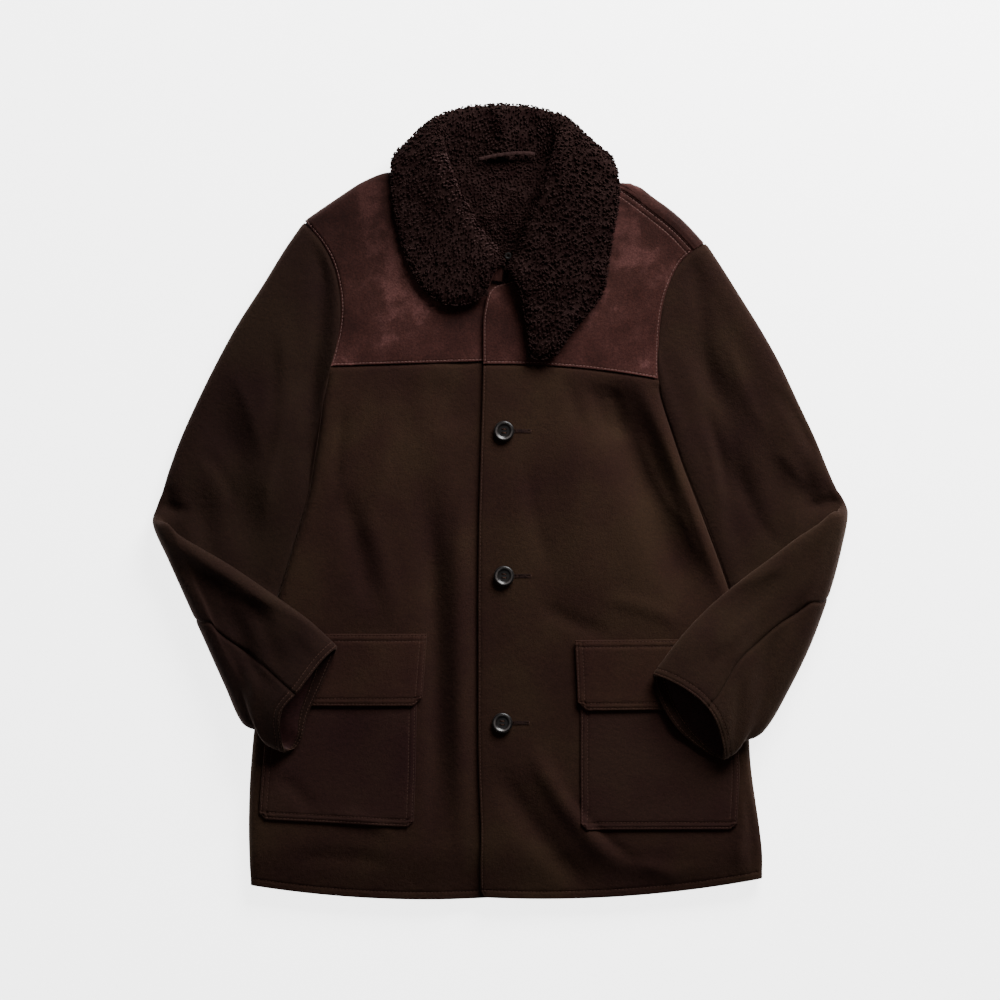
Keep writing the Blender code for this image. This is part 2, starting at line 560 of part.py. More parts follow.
def add_back_yoke():
    outer, inner = back_yoke_walls()
    add_wall("back_yoke", "suede", outer, inner)
    first, last = BACK_NECK
    lining = inner[2:, first:last + 1].copy()
    lining[-1, :, 1] -= 2 * SEAM
    lining[:, 0, 0] += 2 * SEAM
    lining[:, -1, 0] -= 2 * SEAM
    under = lining + np.array([0.0, 0.0, SEAM])
    over = under + np.array([0.0, 0.0, NECK_FLEECE])
    add_wall("neck_lining", "fleece", over, under)


def front_yoke_walls(side):
    """The outer and inner grid of a front yoke, from the yoke seam to the shoulder seam."""
    if side == "l":
        armhole, neckline, rows, top = ARMHOLE_L, NECKLINE_L, FRONT_L, left_top
        shoulder = list(range(len(BACK_TOP["x"]) - 1, BACK_NECK[1] - 1, -1))
    else:
        armhole, neckline, rows, top = ARMHOLE_R, NECKLINE_R, FRONT_R, right_top
        shoulder = list(range(BACK_NECK[0] + 1))
    levels = np.linspace(0, 1, YOKE_LEVELS + 2)
    seams = BACK_TOP["seam"][shoulder]
    start_place = max(seams.max(), 1.0) + SUEDE
    upper = np.array([shoulder_point(k, start_place, 0.0)[:2] for k in shoulder])
    share = np.linspace(0, 1, len(shoulder))
    x = armhole["x"][0] + share * (neckline["x"][0] - armhole["x"][0])
    across = (x - rows["edge"][0]) / (rows["side"][0] - rows["edge"][0])
    y = rows["y_edge"][0] + across * (rows["y_side"][0] - rows["y_edge"][0])
    y = y + rows["bow"][0] * 4 * across * (1 - across) + SEAM
    plan = patch(np.stack([x, y], axis=-1), upper, side_curve(armhole, upper[0], levels),
                 side_curve(neckline, upper[-1], levels))
    plan[0, :, 1] = y
    walls = []
    for depth in (0.0, SUEDE):
        z = top(plan[..., 0], plan[..., 1]) - depth
        grid = np.concatenate([plan, z[..., None]], axis=-1)
        rolls = []
        for step in range(1, SHOULDER_STEPS + 1):
            row = []
            for k, seam in zip(shoulder, seams):
                flat = start_place - max(seam, 1.0) - (SEAM / 2 if seam >= 1 else 0.0)
                rolled = max(1.0 - seam - SEAM / 2 / SHOULDER_ARC, 0.0) * SHOULDER_ARC
                walked = (flat + rolled) * step / SHOULDER_STEPS
                place = start_place - walked
                if walked > flat:
                    place = 1.0 - (walked - flat) / SHOULDER_ARC
                row.append(shoulder_point(k, place, depth))
            rolls.append(row)
        walls.append(np.concatenate([grid, np.array(rolls)]))
    return walls


def add_front_yoke(side):
    outer, inner = front_yoke_walls(side)
    add_wall("front_yoke_" + side, "suede", outer, inner)


# ---- sleeves ----

SLEEVE_EDGE = 9.0
SEAM_PLACE = 0.5        # the hind arm seam's place among the hind face's columns
EDGE_STEPS = (0.0, 30.0, 60.0, 90.0)
FORE_SPANS = 6
HIND_SPANS = (3, 3)
CUFF_LEVELS = 4
ARMHOLE_EASE = 0.6      # space at the armholes
BED_FLOOR = 17.0        # height that the forearms keep beside the body
BED_REACH = 10.0        # how far the stiff cloth carries over an edge under it
BED_STEP = 2.4          # how much a forearm rises from one level to the next, at most
FLAP_TOP, FLAP_FOOT, POCKET_FOOT = -135.0, -245.0, -375.0


def bed_height(x, y):
    """Top of what lies under a folded forearm, with its edges carried outwards."""
    best = BED_FLOOR
    for radius in (0.0, BED_REACH):
        for angle in np.arange(0, 2 * math.pi, math.pi / 4):
            px = x + radius * math.cos(angle)
            py = y + radius * math.sin(angle)
            left = np.interp(py, FRONT_L["y_side"][::-1], FRONT_L["side"][::-1])
            right = np.interp(py, FRONT_R["y_side"][::-1], FRONT_R["side"][::-1])
            layers = 0.0
            if POCKET_FOOT < py < FLAP_TOP:
                layers = 2 * (WOOL + SEAM) if py > FLAP_FOOT else WOOL + SEAM
            if right < px < left:
                best = max(best, float(body_top(px, py)) + layers)
    return best


def armhole_shift(armhole, share):
    """How far the armhole's curve lies from the straight line between its ends, at a share from
    the shoulder point to the armpit."""
    at = 1.0 - share
    curve = np.array([smooth_curve(at, armhole["at"], armhole[c])[0] for c in "xy"])
    first = np.array([armhole["x"][0], armhole["y"][0]])
    last = np.array([armhole["x"][-1], armhole["y"][-1]])
    shift = curve - (first + (last - first) * at)
    return np.array([shift[0], shift[1], 0.0])


def sleeve_loops(shape, depth, columns):
    """A sleeve's surface, depth millimetres inside its outer face. Each column is a face, -1 for
    the fore and +1 for the hind one, the edge or the share of the middle that it lies at, how far
    it is moved along the level, and its angle on the rolled edge."""
    rows, armhole, folds_upper, folds_fore, sign = shape
    fold_start = int(np.argmax(rows["turn"] > 0)) - 1
    fold_end = int(np.argmax(rows["turn"] >= 180))
    up = np.array([0.0, 0.0, 1.0])
    grid = []
    for k in range(len(rows["px"])):
        p = np.array([rows["px"][k], rows["py"][k], 0.0])
        q = np.array([rows["qx"][k], rows["qy"][k], 0.0])
        length = np.linalg.norm(q - p)
        along = (q - p) / length
        out = np.cross(along, up) * -sign
        thick = rows["thick"][k]
        edge = max(SLEEVE_EDGE, (thick + 0.4 * rows["puff"][k]) / 2)
        turn = math.radians(rows["turn"][k])
        spin = out * math.sin(turn) - up * math.cos(turn)
        ring = []
        for face, place, moved, degrees in columns:
            if face > 0:
                place = float(np.interp(place, (0.0, SEAM_PLACE, 1.0), (0.0, rows["seam"][k], 1.0)))
            angle = math.radians(degrees)
            inset = depth + (edge - depth) * (1 - math.sin(angle))
            at = edge + (length - 2 * edge) * place + moved
            if place == 0.0:
                at = inset
            elif place == 1.0:
                at = length - inset
            share = edge * (1 - math.sin(angle)) / length
            share = share if place == 0.0 else 1 - share if place == 1.0 else at / length
            rise = math.cos(angle)
            bulge = 4 * share * (1 - share)
            bow = rows["bow_a"][k] if face > 0 else rows["bow_b"][k]
            plan = p + along * at
            if fold_start <= k <= fold_end:
                centre = plan + out * bow * bulge + up * (thick / 2 + FOLD_RADIUS)
                point = centre + spin * (FOLD_RADIUS + face * (thick / 2 - depth) * rise)
            elif k > fold_end:
                point = plan + out * bow * bulge
                highest = 2 * FOLD_RADIUS + BED_STEP * (k - fold_end)
                base = min(bed_height(point[0], point[1]) + 1.0, highest)
                height = thick + rows["puff"][k] * math.sin(math.pi * share) - 2 * depth
                z = base + depth + height * (0.5 + face * 0.5 * rise)
                if face > 0:
                    z += float(fold_height(folds_fore, point[0], point[1])) * rise
                point = np.array([point[0], point[1], z])
            else:
                arm = rows["arm"][k]
                shift = (armhole_shift(armhole, share) + out * ARMHOLE_EASE) * arm
                point = plan + out * bow * bulge + shift
                z = depth + (thick - 2 * depth) * (0.5 - face * 0.5 * rise)
                if face < 0:
                    z += float(fold_height(folds_upper, point[0], point[1])) * rise
                point = np.array([point[0], point[1], z])
            if place == 1.0 and degrees == 90.0:
                point = point + spin * (face * SEAM / 2)
            ring.append(point)
        grid.append(ring)
    return np.array(grid)


def sleeve_columns():
    """The columns of the top sleeve and of the under sleeve, each as sleeve_loops reads them."""
    first, second = HIND_SPANS
    rest = 1 - SEAM_PLACE
    top = [(-1, 1.0, 0.0, angle) for angle in reversed(EDGE_STEPS)]
    top += [(-1, 1 - m / FORE_SPANS, 0.0, 0.0) for m in range(1, FORE_SPANS)]
    top += [(-1, 0.0, 0.0, angle) for angle in EDGE_STEPS[:-1]]
    top += [(1, 0.0, 0.0, angle) for angle in reversed(EDGE_STEPS)]
    top += [(1, SEAM_PLACE * m / first, 0.0, 0.0) for m in range(1, first)]
    top += [(1, SEAM_PLACE, -SEAM / 2, 0.0)]
    under = [(1, SEAM_PLACE, SEAM / 2, 0.0)]
    under += [(1, SEAM_PLACE + rest * m / second, 0.0, 0.0) for m in range(1, second)]
    under += [(1, 1.0, 0.0, angle) for angle in EDGE_STEPS]
    return top, under


def add_sleeve(side, shape):
    top, under = sleeve_columns()
    for name, columns in (("sleeve_top_", top), ("sleeve_under_", under)):
        outer = sleeve_loops(shape, 0.0, columns)
        inner = sleeve_loops(shape, WOOL, columns)
        add_wall(name + side, "wool_melton", outer, inner)
    loop = top[1:-1] + under[:-1]
    lining_out = sleeve_loops(shape, WOOL + SEAM, loop)[-CUFF_LEVELS:]
    lining_in = sleeve_loops(shape, WOOL + SEAM + LINING, loop)[-CUFF_LEVELS:]
    add_wall("cuff_lining_" + side, "lining_twill", lining_out, lining_in, ring=True)


# ---- collar ----

COLLAR_STEP = 0.6
FALL_SHARES = (0.35, 0.7, 0.93, 1.0)


def collar_spine():
    """The line between fleece and suede at each section, and the way that the fleece lies."""
    at = np.linspace(0, len(COLLAR["nx"]) - 1, round((len(COLLAR["nx"]) - 1) / COLLAR_STEP) + 1)
    level = resample(COLLAR, at)
    spine, normals = [], []
    for k in range(len(at)):
        n, c, o = (np.array([level[a + b][k] for b in "xyz"]) for a in "nco")
        forward = c - (n + o) / 2
        forward /= np.linalg.norm(forward)
        inner = (n - o) - forward * np.dot(n - o, forward)
        inner /= np.linalg.norm(inner)
        side = np.cross(forward, inner)
        start = c + inner * COLLAR_ROLL
        end = c - inner * COLLAR_ROLL
        points = [n, (n + start) / 2, start]
        guides = [inner, inner, inner]
        for degrees in (45, 90, 135):
            angle = math.radians(degrees)
            spoke = inner * math.cos(angle) + forward * math.sin(angle)
            points.append(c + spoke * COLLAR_ROLL)
            guides.append(spoke)
        points.append(end)
        guides.append(-inner)
        for share in FALL_SHARES:
            bulge = 4 * share * (1 - share)
            drift = side * level["bow"][k] * bulge
            points.append(end + (o - end) * share + drift - inner * 1.5 * bulge)
            guides.append(-inner)
        points = np.array(points)
        tangents = np.gradient(points, axis=0)
        tangents /= np.linalg.norm(tangents, axis=1)[:, None]
        guides = np.array(guides)
        across = guides - tangents * np.sum(guides * tangents, axis=1)[:, None]
        spine.append(points)
        normals.append(across / np.linalg.norm(across, axis=1)[:, None])
    return np.array(spine), np.array(normals)


def add_collar():
    spine, normals = collar_spine()
    sections, stations = spine.shape[:2]
    pile = np.full((sections, stations), COLLAR_FLEECE)
    pile[:, 0] = COLLAR_FLEECE - 1.5
    pile[:, -1] = COLLAR_FLEECE * 0.5
    pile[0] -= 2.0
    pile[-1] -= 2.0
    fleece_out = spine + normals * (SEAM / 2 + pile)[:, :, None]
    fleece_in = spine + normals * (SEAM / 2)
    add_wall("collar_upper", "fleece", fleece_out, fleece_in)
    suede_in = spine - normals * (SEAM / 2 + SUEDE)
    add_wall("collar_under", "suede", spine - normals * (SEAM / 2), suede_in)


# ---- buttons and loop ----

def add_turned(name, material, profile, place, segments):
    """A piece turned from a profile of (radius, height), which runs from the axis round to it."""
    work = bmesh.new()
    corners = [work.verts.new((r * MM, 0.0, z * MM)) for r, z in profile]
    edges = [work.edges.new(pair) for pair in zip(corners, corners[1:])]
    bmesh.ops.spin(work, geom=corners + edges, cent=(0, 0, 0), axis=(0, 0, 1),
                   angle=2 * math.pi, steps=segments)
    bmesh.ops.remove_doubles(work, verts=work.verts, dist=0.02 * MM)
    bmesh.ops.recalc_face_normals(work, faces=work.faces)
    mesh = bpy.data.meshes.new(name)
    work.to_mesh(mesh)
    work.free()
    mesh.shade_smooth()
    mesh.set_sharp_from_angle(angle=math.radians(40))
    mesh.materials.append(finish(material))
    thing = bpy.data.objects.new(name, mesh)
    thing.location = [(v - shift) * MM for v, shift in zip(place, ORIGIN)]
    bpy.context.collection.objects.link(thing)
    return thing


def add_buttons():
    r = BUTTON_RADIUS
    profile = ((0, 0), (r - 1.6, 0), (r, 1.0), (r, 2.6), (r - 1.0, 3.9), (r - 2.8, 4.1),
               (r - 4.0, 3.0), (r - 5.0, 2.3), (0, 2.2))
    for number, (x, y) in enumerate(BUTTON_POINTS, 1):
        spots = [float(left_top(x + r * math.cos(a), y + r * math.sin(a)))
                 for a in np.arange(0, 2 * math.pi, math.pi / 4)]
        height = max(spots + [float(left_top(x, y))]) + 2 * SEAM
        add_turned(f"button_{number}", "button_horn", profile, (x, y, height), 20)
    ring = ((1.4, 0.4), (2.4, 0.0), (3.6, 0.4), (4.0, 1.2), (3.4, 2.0), (2.2, 2.0), (1.4, 1.3),
            (1.4, 0.4))
    x, y = NECK_BUTTON
    height = float(back_lift(x, y + 4.0)) + SUEDE + NECK_FLEECE + 3 * SEAM
    add_turned("neck_button", "button_horn", ring, (x, y, height), 16)


HANGER = table("x y z", [
    (-23.0, 375.0, 20.9), (-15.0, 376.8, 21.5), (-7.0, 378.5, 21.9), (1.0, 379.8, 22.2),
    (9.0, 380.9, 22.3), (17.0, 381.6, 22.3), (25.0, 381.8, 22.1), (32.0, 381.6, 21.6),
    (39.0, 380.6, 21.0),
])
HANGER_WIDTH, HANGER_THICK = 5.0, 1.2


def add_hanger_loop():
    """A narrow tape over the back neck seam, its ends sewn down."""
    line = np.stack([HANGER["x"], HANGER["y"], HANGER["z"]], axis=-1)
    half = np.array([0.0, HANGER_WIDTH / 2, 0.0])
    under = np.stack([line - half, line + half], axis=1)
    add_wall("hanger_loop", "suede", under + np.array([0.0, 0.0, HANGER_THICK]), under)


def main():
    for thing in list(bpy.data.objects):
        bpy.data.objects.remove(thing, do_unlink=True)
    add_back_panel()
    add_back_yoke()
    add_front("front_r", FRONT_R, right_top)
    add_front("front_l", FRONT_L, left_top)
    add_pocket("r", FRONT_R, right_top)
    add_pocket("l", FRONT_L, left_top)
    add_front_yoke("r")
    add_front_yoke("l")
    add_sleeve("r", (SLEEVE_R, ARMHOLE_R, UPPER_FOLDS_R, FOREARM_FOLDS_R, -1.0))
    add_sleeve("l", (SLEEVE_L, ARMHOLE_L, UPPER_FOLDS_L, FOREARM_FOLDS_L, 1.0))
    add_collar()
    add_buttons()
    add_hanger_loop()


main()
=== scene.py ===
# %% [markdown]
# # A donkey coat laid flat on its back
# A donkey coat is a short work coat of thick felted wool. This one has a suede yoke, a collar of
# curly fleece, patch pockets with flaps and horn buttons. It lies buttoned, with its forearms
# folded in. The solids of the coat are already packed as a frame. This lesson lays finer cloth over
# them, sews it and gives it its finishes. We load the frame.

# %% Load the imported frame
import math

import bmesh
import bpy
import numpy as np
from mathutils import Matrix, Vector, noise


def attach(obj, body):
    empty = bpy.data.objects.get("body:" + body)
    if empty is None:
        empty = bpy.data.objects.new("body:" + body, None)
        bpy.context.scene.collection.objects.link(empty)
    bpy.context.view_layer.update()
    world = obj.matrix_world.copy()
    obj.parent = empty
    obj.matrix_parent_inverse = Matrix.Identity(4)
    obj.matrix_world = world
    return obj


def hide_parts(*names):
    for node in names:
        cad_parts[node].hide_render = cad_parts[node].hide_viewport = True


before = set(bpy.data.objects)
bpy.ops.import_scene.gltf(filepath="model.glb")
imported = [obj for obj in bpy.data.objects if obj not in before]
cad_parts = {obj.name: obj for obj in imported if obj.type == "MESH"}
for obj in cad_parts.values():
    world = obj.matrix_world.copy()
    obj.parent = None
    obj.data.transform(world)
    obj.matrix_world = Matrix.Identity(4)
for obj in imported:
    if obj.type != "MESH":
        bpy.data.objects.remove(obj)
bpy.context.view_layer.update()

# %% [markdown]
# ## The sizes of the cloth
# Everything is measured in millimetres and turned into metres at the very end. A wall of melton
# is 2.4 mm thick, suede is thinner and fleece stands several millimetres high. Named values let
# us change the pattern of the coat in one place.

# %% Sizes in millimetres
MM = 0.001
ORIGIN = (0.8, -1.3, 0.0)  # the frame's origin, in the millimetres of the pattern
WOOL, SUEDE, LINING = 2.4, 1.5, 1.2  # walls of cloth
NECK_FLEECE, COLLAR_FLEECE = 5.5, 8.5
SEAM = 0.3  # the gap between two pieces that are sewn together
BODY_HEIGHT = 18.0  # top of the fronts above the table
SIDE_ROLL, SIDE_SEAM = 10.0, 9.0  # width of the rolled sides and height of their seam
LAP_DROP, LAP_RISE = 3.2, 1.4  # the right front sinks and the left one rises at the lap
FALL_LIFT = 11.2  # the collar's fall raises the back yoke
COLLAR_ROLL, FOLD_RADIUS = 4.0, 9.0  # inside the collar's fold and inside the elbow's
BUTTON_RADIUS = 11.3
BUTTON_POINTS = ((5.0, 75.9), (5.0, -83.6), (3.0, -245.3))
print("walls of melton, suede and lining", WOOL, SUEDE, LINING, "mm")

# %% [markdown]
# ## The pattern of the fronts
# The outline of a piece is a short table with a row for each level of the coat. These are the
# numbers that the solids were cut from, so the finer cloth lies where the solids lie. We could
# subdivide the solids instead, but that would round off every seam.

# %% The fronts
def table(names, rows):
    """A table of numbers as one array for each named column."""
    data = np.array(rows, float)
    return {name: data[:, k] for k, name in enumerate(names.split())}


# The left front (on top), a row for each level from the yoke seam to the hem. y_edge and y_side are
# the level at the opening and at the side, bow is how far its middle lies from the straight line.
FRONT_L = table("y_edge y_side bow edge flap_in patch_in patch_out side", [
    (149.6, 133, 5, -17.9, 62, 70, 150, 176),  # yoke seam
    (110, 105.6, 2, -19, 65, 73, 156, 181),
    (43, 43, 0, -21, 71, 77, 176, 200.8),
    (-24, -24, 0, -22.7, 76, 81, 200, 226),
    (-101, -101, 0, -23.6, 80, 84.5, 229, 253.6),
    (-155, -153, 0, -23.6, 83, 87, 250, 266),  # flap top
    (-233, -230, 0, -23.6, 86, 89, 258, 273.5),  # flap edge
    (-295, -295, 0, -23, 85, 89, 264, 277.5),
    (-363.5, -362.5, 0, -20.5, 85, 89.6, 261, 287),  # pocket bottom
    (-400, -390, -5, -21, 85, 89.6, 262, 290),
    (-437.8, -417, -9.5, -20.5, 85, 89.6, 263, 290),  # hem
])

# The right front (underneath); its edge lies hidden under the left front.
FRONT_R = table("y_edge y_side bow edge flap_in patch_in patch_out side", [
    (154, 147.4, 0, 27, -60, -68, -163, -187),
    (110, 110, 0, 27, -63, -71, -170, -195),
    (68, 68, 0, 27, -66, -75, -180, -200),
    (0, 0, 0, 27, -70, -80, -192, -212),
    (-68, -68, 0, 27, -75, -86, -212, -232),
    (-147.4, -147.4, 0, 27, -79.8, -90, -238, -254.7),
    (-226.6, -226.6, 0, 27, -85, -91.3, -253, -267.5),
    (-297, -297, 0, 27, -85, -92.4, -261, -274.5),
    (-367, -350.5, 0, 27, -86, -94.6, -264.5, -276.5),
    (-402, -390, -4, 27, -86, -94.6, -264, -276),
    (-435.6, -424.6, -9.5, 27, -86, -94.6, -262, -274.5),
])
FLAP_ROW, FLAP_EDGE_ROW, POCKET_ROW, HEM_ROW = 5, 6, 8, 10  # rows of both tables
print("levels of the fronts", len(FRONT_L["side"]), len(FRONT_R["side"]))

# %% [markdown]
# ## The armholes, the neck and the top of the back
# The yokes are cut between curves: the armhole, the neck and the shoulder. On the real coat the
# shoulder seam of the wearer's left lies a little to the front, so its place is in the table.

# %% Armholes and necklines
# The armhole seams from the armpit to the shoulder point.
ARMHOLE_L = table("at x y", [
    (0, 174.5, 133), (0.25, 176, 186), (0.5, 182.5, 226), (0.75, 199, 262),
    (1, 226, 283.8),
])
ARMHOLE_R = table("at x y", [
    (0, -186, 147.4), (0.25, -176, 190), (0.5, -175.5, 228), (0.75, -187, 270),
    (1, -214, 307),
])

# The opening edge of each front above the yoke seam, and then its neck seam round to the side.
NECKLINE_L = table("at x y", [
    (0, -17.9, 149.6), (0.22, -17, 205), (0.32, -13, 230), (0.4, 2, 236.5),
    (0.5, 22, 244), (0.62, 43, 263), (0.76, 57.5, 291), (0.88, 67.5, 322),
    (1, 73.5, 352.5),
])
NECKLINE_R = table("at x y", [
    (0, 27, 154), (0.22, 27, 205), (0.32, 22, 231), (0.4, -6, 237),
    (0.5, -30, 249), (0.62, -50.5, 276), (0.76, -64, 310), (0.88, -71, 338),
    (1, -73.5, 354.5),
])
print("width between the armpits", ARMHOLE_L["x"][0] - ARMHOLE_R["x"][0], "mm")

# %% The top edge of the back
# The top edge of the back, from the right shoulder point round the neck to the left one. seam says
# where the shoulder seam lies: 0.5 on the edge itself, over 1 on top, that many mm further in.
BACK_TOP = table("x y out_x out_y seam", [
    (-215, 308, -0.62, 0.78, 0.5),
    (-183, 330, -0.52, 0.85, 0.5),
    (-148, 352, -0.50, 0.87, 0.5),
    (-120, 361, -0.35, 0.94, 0.5),
    (-97, 355, -0.10, 0.99, 0.5),
    (-74, 355, -0.10, 0.99, 0.5),
    (-56, 370, -0.30, 0.95, 0),
    (-25, 371.8, 0, 1, 0),
    (0, 372, 0, 1, 0),
    (27, 371.8, 0, 1, 0),
    (58, 370, 0.30, 0.95, 0),
    (74, 353, 0.10, 0.99, 0.5),
    (98, 349, 0.10, 0.99, 0.5),
    (122, 350.5, 0.35, 0.94, 0.7),
    (141, 350, 0.50, 0.87, 2.5),
    (176, 330, 0.57, 0.82, 7),
    (203, 308, 0.68, 0.73, 7),
    (226, 283.8, 0.80, 0.60, 7),
])
BACK_NECK = (5, 11)  # the columns that end at the side of the neck
SHOULDER_ROLL = 9.0  # how far the cloth reaches out where it rolls over the shoulder
print("points along the top of the back", len(BACK_TOP["x"]))

# %% [markdown]
# ## The sleeves and the collar
# A sleeve is a flat tube that turns over at the elbow, so its table also says how far it has
# folded at each level. The collar is a band that stands up at the neck and falls over outwards.

# %% The left sleeve
# The sleeves, a row for each level: p is the outer edge and q the inner one, in plan. arm is how
# much of the armhole's curve the level still has, and seam where the hind arm seam crosses it.
# bow_a and bow_b move the middle of the hind and fore face out, away from the shoulder, thick is
# the height at the edges and puff what the middle has more.
SLEEVE_COLUMNS = "px py qx qy arm seam bow_a bow_b thick puff"
SLEEVE_L = table(SLEEVE_COLUMNS, [
    (227, 283.8, 175.5, 133, 1, 0.37, 0, 0, 17.5, 0),
    (244.7, 257.4, 182.2, 104, 0.65, 0.37, 0, 0, 17, 0),
    (266.8, 222.2, 193.2, 70, 0.33, 0.37, 0, 0, 16.5, 0),
    (288.8, 187, 202.8, 40, 0.12, 0.37, 0, 0, 16, 0),
    (308.6, 151.8, 214.6, 8, 0, 0.37, 0, 0, 15, 0),
    (328.4, 110, 227.7, -26, 0, 0.37, 0, 0, 14, 0),
    (348, 68.2, 241.7, -65, 0, 0.37, 0, 0, 13.5, 0),
    (362.5, 33, 256.2, -108, 0, 0.37, 0, 0, 13, 0),
    (372, 12, 268, -160, 0, 0.37, 6, 6, 13, 0),
    (377.4, 4.2, 280.5, -214, 0, 0.37, 15, 15, 13, 0),
    (374, 0.1, 279.5, -236, 0, 0.37, 15, 15, 13, 0),
    (370.3, -4.5, 274.5, -253, 0, 0.37, 15, 15, 13, 0),
    (368.4, -9.2, 271, -260, 0, 0.37, 15, 15, 13, 0),
    (366.8, -12.9, 268.5, -266, 0, 0.37, 14, 14, 13, 0),
    (352, -25, 265, -272, 0, 0.38, 10, 10, 13.5, 0),
    (327, -41.5, 262, -275.5, 0, 0.4, 5, 5, 14, 0),
    (297.5, -64, 259.5, -278, 0, 0.43, 2, 1, 14, 1),
    (266, -87.5, 257, -280, 0, 0.46, 1, 0, 14, 3),
    (235, -113, 254, -282, 0, 0.49, 7, -3, 14, 6),
    (205, -143, 250.5, -284, 0, 0.52, 13, -9, 14, 9),
    (167.8, -191, 247, -286, 0, 0.55, 20, -17, 14, 13),
])

# %% The right sleeve
SLEEVE_R = table(SLEEVE_COLUMNS, [
    (-215, 307, -187, 147.4, 1, 0.48, 0, 0, 17.5, 0),
    (-236, 277.2, -195.6, 112, 0.62, 0.48, 0, 0, 17, 0),
    (-261.3, 236.5, -200.2, 77, 0.3, 0.48, 0, 0, 16.5, 0),
    (-287.7, 195.8, -206.3, 38.5, 0.1, 0.48, 0, 0, 15.5, 0),
    (-309.7, 156.2, -213.1, 0, 0, 0.48, 0, 0, 15, 0),
    (-331.7, 112.2, -222.8, -33, 0, 0.48, 0, 0, 14, 0),
    (-351.5, 68.2, -235.8, -77, 0, 0.48, 0, 0, 13.5, 0),
    (-365.5, 30, -250.6, -128, 0, 0.48, 0, 0, 13, 0),
    (-371.5, 10, -261.5, -178, 0, 0.48, 0, 0, 13, 0),
    (-377.9, -7.4, -272.3, -228.8, 0, 0.48, 0, 0, 13, 0),
    (-374.2, -11.8, -271.5, -236, 0, 0.48, 0, 0, 13, 0),
    (-370.3, -16.2, -268.5, -243, 0, 0.48, 0, 0, 13, 0),
    (-368.2, -20.7, -266, -249, 0, 0.48, 0, 0, 13, 0),
    (-366.6, -24.4, -264.5, -254.5, 0, 0.48, 0, 0, 13, 0),
    (-354, -37, -263, -260.5, 0, 0.48, 0, 0, 13.5, 0),
    (-329.5, -52, -260, -265.5, 0, 0.485, 0, 0, 14, 0),
    (-298.7, -70, -257, -268.5, 0, 0.49, 0, 0, 14, 1),
    (-267.9, -90.5, -253, -271, 0, 0.5, 0, 0, 14, 3),
    (-238.2, -111, -248, -273.5, 0, 0.51, 3, -1, 14, 6),
    (-210, -131, -242, -276, 0, 0.515, 8, -2, 14, 9),
    (-177.7, -160.5, -236, -278.3, 0, 0.52, 14, -3, 14, 13),
])

# %% The collar
# The collar, a row for each level from the right front round the neck to the left front: its neck
# seam n, the middle c of its fold and its outer edge o, and how far the fall's middle bows out.
COLLAR_COLUMNS = "nx ny nz cx cy cz ox oy oz bow"
COLLAR = table(COLLAR_COLUMNS, [
    (2.6, 240.5, 17.5, 0.2, 253.5, 22, -14, 227, 23, 0),
    (-12.7, 243.5, 17.5, -10.5, 269.5, 22.5, -45, 214, 23, 0),
    (-34.7, 262, 18, -31.4, 294.8, 23.5, -77, 227, 23, 0),
    (-52.3, 292, 20, -44.6, 319, 26, -99.5, 263, 23, 0),
    (-64.4, 322.3, 23, -56.7, 341, 29.5, -111.5, 305, 23.5, 0),
    (-71, 344.3, 24.5, -65.5, 365.2, 31, -116.5, 337, 24, 0),
    (-73, 359, 22.5, -72, 388.3, 29, -115.5, 359.5, 23.5, 0),
    (-70, 368.4, 18.5, -71, 408.1, 22.5, -112, 375.5, 16, 0),
    (-58, 374, 14.5, -54.5, 416.9, 17.5, -88, 366, 9, 0),
    (-32, 373.6, 13.2, -30.5, 423.5, 13.8, -44, 349, 8.8, 0),
    (0.5, 373.8, 13.2, 0.5, 425.2, 13.4, 0.5, 346, 8.8, 0),
    (33.5, 373.6, 13.2, 32, 423.5, 13.8, 46, 349, 8.8, 0),
    (60, 373, 14.5, 56, 416.9, 17.5, 91, 362, 9, 0),
    (72.5, 366.5, 18.5, 73.5, 407, 22.5, 115, 373, 16, 0),
    (73, 357, 22.5, 71, 387, 29, 127.5, 359, 23.5, 0),
    (70, 343, 24.5, 65.5, 364, 31, 130, 336.5, 24, 0),
    (65, 322, 23, 56, 340, 29.5, 124, 296, 24, 0),
    (55.5, 294, 20.5, 46, 313, 27, 118, 262, 24, 0),
    (42.5, 268.5, 19.5, 34.5, 287, 26, 111, 226, 24.5, 0),
    (26.5, 251.5, 19.5, 27, 264, 25.6, 80, 188, 24.8, 0),
    (18, 246, 19.5, 19, 255, 25.2, 56, 157, 24.8, -2),
    (9.8, 241.5, 19.5, 12, 247.8, 25, 32, 158.5, 24.6, -4),
])
# The soft sleeves press against the sides of the body, which the rigid solids can't do. Both fold
# over at the elbow on the same levels: turn says how many degrees.
SIDE_PRESS = np.array([2.6, 3.4, 3.2, 3.0, 2.6, 1.8, 1.5, 1.5, 1.5])
for rows, inward in ((SLEEVE_L, -1), (SLEEVE_R, 1)):
    rows["turn"] = np.array([0.0] * 10 + [45.0, 90.0, 135.0] + [180.0] * 8)
    rows["qx"][:len(SIDE_PRESS)] += inward * SIDE_PRESS
print("levels of the sleeves and the collar", len(SLEEVE_L["px"]), len(COLLAR["nx"]))
